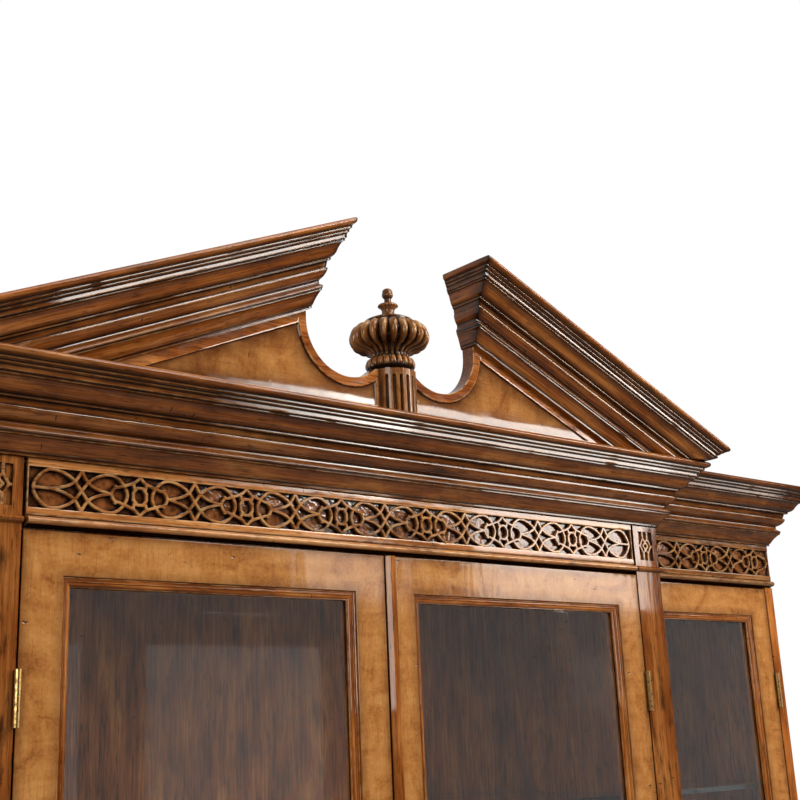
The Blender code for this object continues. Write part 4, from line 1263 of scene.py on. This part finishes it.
def plate_mesh(name, loops, y_front, depth, soft):
    """Mesh of a flat cut-out shape with softened edges, standing upright with its front at y_front."""
    curve = bpy.data.curves.new(name, "CURVE")
    curve.dimensions = "2D"
    curve.fill_mode = "BOTH"
    curve.extrude = depth / 2 - soft
    curve.bevel_depth = soft
    curve.bevel_resolution = 2
    curve.offset = -soft
    for loop in loops:
        spline = curve.splines.new("POLY")
        spline.points.add(len(loop) - 1)
        for point, (x, z) in zip(spline.points, loop):
            point.co = (x, z, 0, 1)
        spline.use_cyclic_u = True
    holder = bpy.data.objects.new(name, curve)
    bpy.context.collection.objects.link(holder)
    mesh = bpy.data.meshes.new_from_object(holder.evaluated_get(bpy.context.evaluated_depsgraph_get()))
    bpy.data.objects.remove(holder)
    bpy.data.curves.remove(curve)
    mesh.name = name
    mesh.materials.clear()
    mesh.transform(Matrix.Translation((0, y_front + depth / 2, 0)) @ Matrix.Rotation(math.pi / 2, 4, "X"))
    return mesh


def fret_mesh(name, lines, low, high, face, stain=0.0):
    """Mesh of fretwork cut from thin stock, its front just behind a face."""
    loops = [thinned(loop) for loop in outlines(*ribbon_field(lines, low, high, FRET_CELL))]
    loops = [[(x, z + FRET_MIDDLE) for x, z in loop] for loop in loops if len(loop) > 3]
    front = face + FRET_SHY
    depth = FRET_SINK - FIT
    mesh = plate_mesh(name, loops, front, depth, FRET_ROUNDING)
    grain, wear_and_highlight, glaze_and_shade = [], [], []
    for polygon in mesh.polygons:
        for index in polygon.vertices:
            place = mesh.vertices[index].co
            grain.append((place.x, place.z, place.y))
            # Painted shade: faces that do not face the front darken the deeper they lie in the sunk band; the
            # front edges are rubbed lighter.
            deep = (place.y - front) / depth
            wear_and_highlight.append(0.5 if deep < 0.12 else 0.0)
            glaze_and_shade.append(max(stain, min(1.0, deep * 1.6) if polygon.normal.y > -0.8 else 0.0))
    store_marks(mesh, grain, wear_and_highlight, glaze_and_shade)
    return mesh


def bead_corners():
    """Front of a frieze board from its lower edge up, as (outwards, height)."""
    low = FRIEZE_BOTTOM + BEAD_LIFT
    band_low = FRET_TOP - FRET_BAND
    points = [(-0.004, FRIEZE_BOTTOM, True), (0.0, low, True)]
    steps = 12
    for step in range(1, steps):
        turn = math.pi * step / steps
        points.append((BEAD_REACH * math.sin(turn), low + BEAD_HEIGHT * (1 - math.cos(turn)) / 2, False))
    points += [(0.0, low + BEAD_HEIGHT, True), (-0.0012, low + BEAD_HEIGHT + 0.0006, True),
               (0.0, low + BEAD_HEIGHT + 0.0018, True), (0.0, band_low, True), (-FRET_SINK, band_low, True),
               (-FRET_SINK, FRET_TOP, True), (0.0, FRET_TOP, True), (0.0, CORNICE_BOTTOM - FIT, True)]
    return points


def make_frieze(name, node, low, high, face, fret_low, fret_high, lines, stain=0.0):
    """A frieze board with its bead, and the fretwork in its sunk band."""
    section = aged(softened(bead_corners(), 0.0005), glaze_and_shade_reach=0.0014, shade_fade_reach=0.003)
    # Painted shadow: the fillet under the bead and the bead's lower edge are painted black as the bead's
    # shadow.
    bead_shadow_top = FRIEZE_BOTTOM + BEAD_LIFT + BEAD_HEIGHT * 0.06
    section = [(reach, rise, wear_and_highlight, 1.0 if rise < bead_shadow_top else glaze_and_shade) for reach, rise, wear_and_highlight, glaze_and_shade in section]
    back = FRIEZE_BOARD
    section += [(-back, CORNICE_BOTTOM - FIT, 0.0, 0.0), (-back, FRIEZE_BOTTOM, 0.0, 0.0)]

    def station(x):
        return lambda reach, rise: Vector((x, face - reach, rise))

    def is_sunk(corners):
        depths = [shell.points[corner].y - face for corner in corners]
        return min(depths) > FRET_SINK * 0.9 and max(depths) < back * 0.5

    shell = Shell()
    run_moulding(shell, section, [station(low), station(high)], 9.0 + low, stain)
    shell.coats = [int(is_sunk(corners)) for corners in shell.faces]
    make_piece(name, shell, ["frieze", "ground"], "case", [node])
    mesh = fret_mesh(f"fret_{name}", lines, fret_low, fret_high, face, stain * 0.5)
    make_piece(f"fret_{name}", mesh, ["fret"], "case", [])


def make_friezes():
    """Three frieze boards and the fret blocks of the two posts."""
    half = POST_INNER - FRIEZE_JOINT
    crossings = [FRET_PITCH * step for step in range(-3, 4)]
    medallions = [FRET_PITCH * (step + 0.5) for step in range(-3, 3)]
    lines = fret_lines(-half, half, crossings, medallions)
    make_frieze("frieze_board_centre", "frieze_centre", -half, half, FACE_Y, -half, half, lines)
    for word, side in SIDES:
        crossings = [side * (WING_CROSSING + FRET_PITCH * step) for step in (0, 1)]
        medallions = [side * (WING_CROSSING + FRET_PITCH * (step + 0.5)) for step in (0, 1)]
        low, high = sorted((side * (CENTRE_HALF + POST_WIDTH), side * CASE_HALF))
        lines = fret_lines(low, high, crossings, medallions)
        ends = sorted((side * (CENTRE_HALF + FIT), side * CASE_HALF))
        name, node = f"frieze_board_{word}", f"frieze_wing_{word}"
        make_frieze(name, node, *ends, WING_Y, low, high, lines, WING_STAIN)
        middle = side * (POST_INNER + CENTRE_HALF) / 2
        lines = [turned_over(line, middle, across, 1) for line in BLOCK_LINES for across in (-1, 1)]
        low, high = middle - BLOCK_BAND_WIDTH / 2, middle + BLOCK_BAND_WIDTH / 2
        mesh = fret_mesh(f"fret_block_{word}", lines, low, high, FACE_Y)
        make_piece(f"fret_block_{word}", mesh, ["fret"], "case", [])


make_friezes()


# Doors

def ring_moulding(shell, low, high, face, section, seed, coat=0, banded=False):
    """A moulding carried round inside a rectangle; section gives (inwards, depth, wear, glaze).

    Its grain runs along it, or straight up where it is veneered."""
    turns = ((1, 1), (-1, 1), (-1, -1), (1, -1))
    rings = []
    for inwards, depth, wear_and_highlight, glaze_and_shade in section:
        ring = []
        for across, up in turns:
            x = (low[0] if across > 0 else high[0]) + across * inwards
            z = (low[1] if up > 0 else high[1]) + up * inwards
            ring.append(shell.place((x, face + depth, z)))
        rings.append((ring, wear_and_highlight, glaze_and_shade))
    around = running_length(section)
    around.append(around[-1] + 0.001)
    for number, (first, second) in enumerate(zip(rings, rings[1:] + rings[:1])):
        for side in range(4):
            after = (side + 1) % 4
            corners = [first[0][side], first[0][after], second[0][after], second[0][side]]
            reaches = (around[number], around[number], around[number + 1], around[number + 1])
            grain = []
            for corner, reach in zip(corners, reaches):
                point = shell.points[corner]
                run = (point.x, point.z)[side % 2]
                grain.append((point.z, point.x, seed) if banded else (run, reach, seed + side))
            shell.face(corners, grain, [first[1], first[1], second[1], second[1]],
                       [first[2], first[2], second[2], second[2]], coat)


def frame_section():
    """Flat of a door frame, darker towards its edges, as (inwards, depth, wear, glaze)."""
    soft = 0.0007
    fade = 0.014
    wide = STILE_WIDTH
    return [
        (0.0, DOOR_THICKNESS, 0.0, 1.0),
        (0.0, soft, 0.0, 1.0),
        (soft * 0.3, soft * 0.3, 0.0, 0.8),
        (soft, 0.0, 0.0, 0.6),
        (fade * 0.4, 0.0, 0.0, 0.34),
        (fade, 0.0, 0.0, 0.0),
        (wide - fade, 0.0, 0.0, 0.0),
        (wide - fade * 0.4, 0.0, 0.0, 0.26),
        (wide - soft * 0.5, 0.0, 0.5, 0.5),
        (wide, soft * 0.5, 1.0, 0.3),
        (wide, DOOR_THICKNESS, 0.0, 0.3),
    ]


def sticking_section():
    """Moulded inner edge of an upper door with the groove for its glass, as (inwards, depth, wear, glaze)."""
    path = traced([(x, depth, -bow) for x, depth, bow in STICKING_CORNERS])
    front = softened([(x * MM, -depth * MM, corner) for x, depth, corner in path], 0.0003)
    section = [(STILE_WIDTH + x, -y, max(0.0, -edge), max(0.0, edge)) for x, y, edge in front]
    inner = STILE_WIDTH + STICKING_WIDTH
    groove = inner - GROOVE_DEPTH
    return section + [
        (groove, GLASS_FRONT, 0.0, 0.5),
        (groove, GLASS_BACK, 0.0, 0.5),
        (inner, GLASS_BACK, 0.0, 0.0),
        (inner, DOOR_THICKNESS, 0.0, 0.0),
        (STILE_WIDTH, DOOR_THICKNESS, 0.0, 0.0),
    ]


def make_upper_doors():
    """Four glazed door frames: cross-banded flats with a moulded edge."""
    for number, word in enumerate(("centre_left", "centre_right", "wing_left", "wing_right")):
        node = f"upper_door_{word}"
        low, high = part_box(node)
        corners = (low.x, low.z), (high.x, high.z)
        shell = Shell()
        ring_moulding(shell, *corners, low.y, frame_section(), number, banded=True)
        ring_moulding(shell, *corners, low.y, sticking_section(), number + 0.9, 1)
        make_piece(f"door_frame_{word}", shell, ["burl", "walnut"], f"upper_{word}", [node])


KNOB_CORNERS = (
    (9.0, 0.0, 0),
    (9.0, 2.2, 0),
    (4.2, 6.8, -0.2),
    (4.8, 12.2, 0),
    (12.0, 19.0, 0.2),
    (3.0, 26.4, 0.3),
    (0.4, 26.9, 0),
)


def make_knobs():
    """Turned brass knobs."""
    corners = traced(KNOB_CORNERS)
    section = aged(softened([(x * MM, z * MM, corner) for x, z, corner in corners], 0.0005))
    riders = {"centre": "centre_right", "left": "wing_left", "right": "wing_right"}
    for row in ("upper", "base"):
        for word, body in riders.items():
            node = f"{row}_knob_{word}"
            low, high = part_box(node)
            middle = (low + high) / 2

            def place(x, y, height):
                return Vector((middle.x + x, high.y - height, middle.z + y))

            shell = Shell()
            turned(shell, section, 40, place, 0.2)
            make_piece(f"turned_knob_{row}_{word}", shell, ["brass"], f"{row}_{body}", [node])


make_upper_doors()
make_knobs()


# Solids that stay as they are

KEPT_FINISHES = (
    ("upright", ("upper_side", "upper_partition", "upper_back", "base_side", "base_partition", "base_back",
                 "astragal")),
    ("post", ("pilaster",)),
    ("level", ("upper_roof", "base_plinth", "base_floor", "waist_board")),
    ("burl_solid", ("base_door",)),
    ("brass", ("hinge",)),
    ("glass", ("pane", "shelf")),
)
for kind, starts in KEPT_FINISHES:
    for node_name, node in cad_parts.items():
        if node_name.startswith(starts):
            node.data.materials.clear()
            node.data.materials.append(finish[kind])


# Room, light and camera

def make_floor():
    """Pale floor under the cabinet."""
    tree, shader, material = new_material("pale_floor")
    clouds = mottle(tree, level(tree), (3, 3, 3), detail=3.0)
    tree.links.new(toned(tree, clouds, FLOOR_TONES), shader.inputs["Base Color"])
    shader.inputs["Roughness"].default_value = 0.8
    mesh = bpy.data.meshes.new("floor")
    sides = 96
    turns = [2 * math.pi * step / sides for step in range(sides)]
    points = [(FLOOR_RADIUS * math.cos(turn), FLOOR_RADIUS * math.sin(turn), -MM) for turn in turns]
    mesh.from_pydata(points, [], [list(range(sides))])
    mesh.materials.append(material)
    floor = bpy.data.objects.new("floor", mesh)
    bpy.context.collection.objects.link(floor)


def make_world():
    """Dim studio in front of the cabinet and a white backdrop behind it."""
    world = bpy.data.worlds.new("studio")
    bpy.context.scene.world = world
    world.use_nodes = True
    tree = world.node_tree
    path = add(tree, "ShaderNodeLightPath", {})
    seen = reckon(tree, "MAXIMUM", path.outputs["Is Camera Ray"], path.outputs["Is Transmission Ray"])
    coordinates = add(tree, "ShaderNodeTexCoord", {})
    direction = add(tree, "ShaderNodeSeparateXYZ", {0: coordinates.outputs["Generated"]})
    behind = scaled(tree, between(tree, direction.outputs["Y"], 0.0, 0.3), BACKDROP_MIRRORED)
    seen = reckon(tree, "MAXIMUM", seen, scaled(tree, path.outputs["Is Glossy Ray"], behind))
    colour = mixed(tree, seen, (AMBIENT, AMBIENT, AMBIENT, 1.0), (1.0, 1.0, 1.0, 1.0))
    tree.links.new(colour, tree.nodes["Background"].inputs["Color"])


def make_softbox(name, place, target, size, radiance, tilt=0.0):
    """A rectangular lamp of a brightness, facing a target and tilted about the way it faces."""
    lamp = bpy.data.lights.new(name, "AREA")
    lamp.shape = "RECTANGLE"
    lamp.size, lamp.size_y = size
    lamp.energy = radiance * math.pi * size[0] * size[1]
    lamp.color = LAMP_COLOUR
    holder = bpy.data.objects.new(name, lamp)
    bpy.context.collection.objects.link(holder)
    holder.location = place
    facing = (Vector(target) - Vector(place)).to_track_quat("-Z", "Y")
    holder.rotation_euler = (facing @ Quaternion((0, 0, 1), math.radians(tilt))).to_euler()


def make_wall_softboxes():
    """Lamps in an upright plane in front of the cabinet, facing straight back."""
    steps = [(f"fade_{step}", (1.50 + 0.1 * step, 2.9545 + 0.001 * step), (0.1, 0.409 + 0.002 * step),
              2.0 + 3.6 * step, 0.0) for step in range(7)]
    for word, (x, z), size, radiance, tilt in (*steps, *WALL_LAMPS):
        make_softbox(f"softbox_{word}", (x, LAMP_PLANE_Y, z), (x, 0.0, z), size, radiance, tilt)


def make_camera():
    """Camera at the photo's place: below the crown, left of the middle, looking up and to the right."""
    turned_axes = Matrix(((1, 0, 0), (0, 0, -1), (0, 1, 0)))
    turn = (Matrix.Rotation(CAMERA_ROLL, 3, "Z") @ Matrix.Rotation(-CAMERA_PITCH, 3, "X") @ turned_axes
            @ Matrix.Rotation(CAMERA_YAW, 3, "Z"))
    flipped = Matrix.Diagonal((1, -1, -1)) @ turn
    camera = bpy.data.cameras.new("camera")
    camera.sensor_width = SENSOR_WIDTH
    camera.lens = FOCAL_PIXELS / PHOTO_WIDTH * SENSOR_WIDTH
    camera.shift_x = (PHOTO_WIDTH / 2 - CENTRE_U) / PHOTO_WIDTH
    camera.shift_y = (CENTRE_V - PHOTO_WIDTH / 2) / PHOTO_WIDTH
    camera.clip_start = 0.01
    holder = bpy.data.objects.new("camera", camera)
    bpy.context.collection.objects.link(holder)
    holder.matrix_world = Matrix.Translation(CAMERA_PLACE) @ flipped.transposed().to_4x4()
    bpy.context.scene.camera = holder


make_floor()
make_world()
make_wall_softboxes()
make_softbox("softbox_left", (-3.0, -2.0, 2.6), LAMP_TARGET, (1.5, 1.5), 7.0)
make_softbox("softbox_top", (0.9, -1.9, 4.7), LAMP_TARGET, (2.4, 1.6), 5.5)
make_camera()

bpy.context.scene.view_settings.view_transform = "Standard"
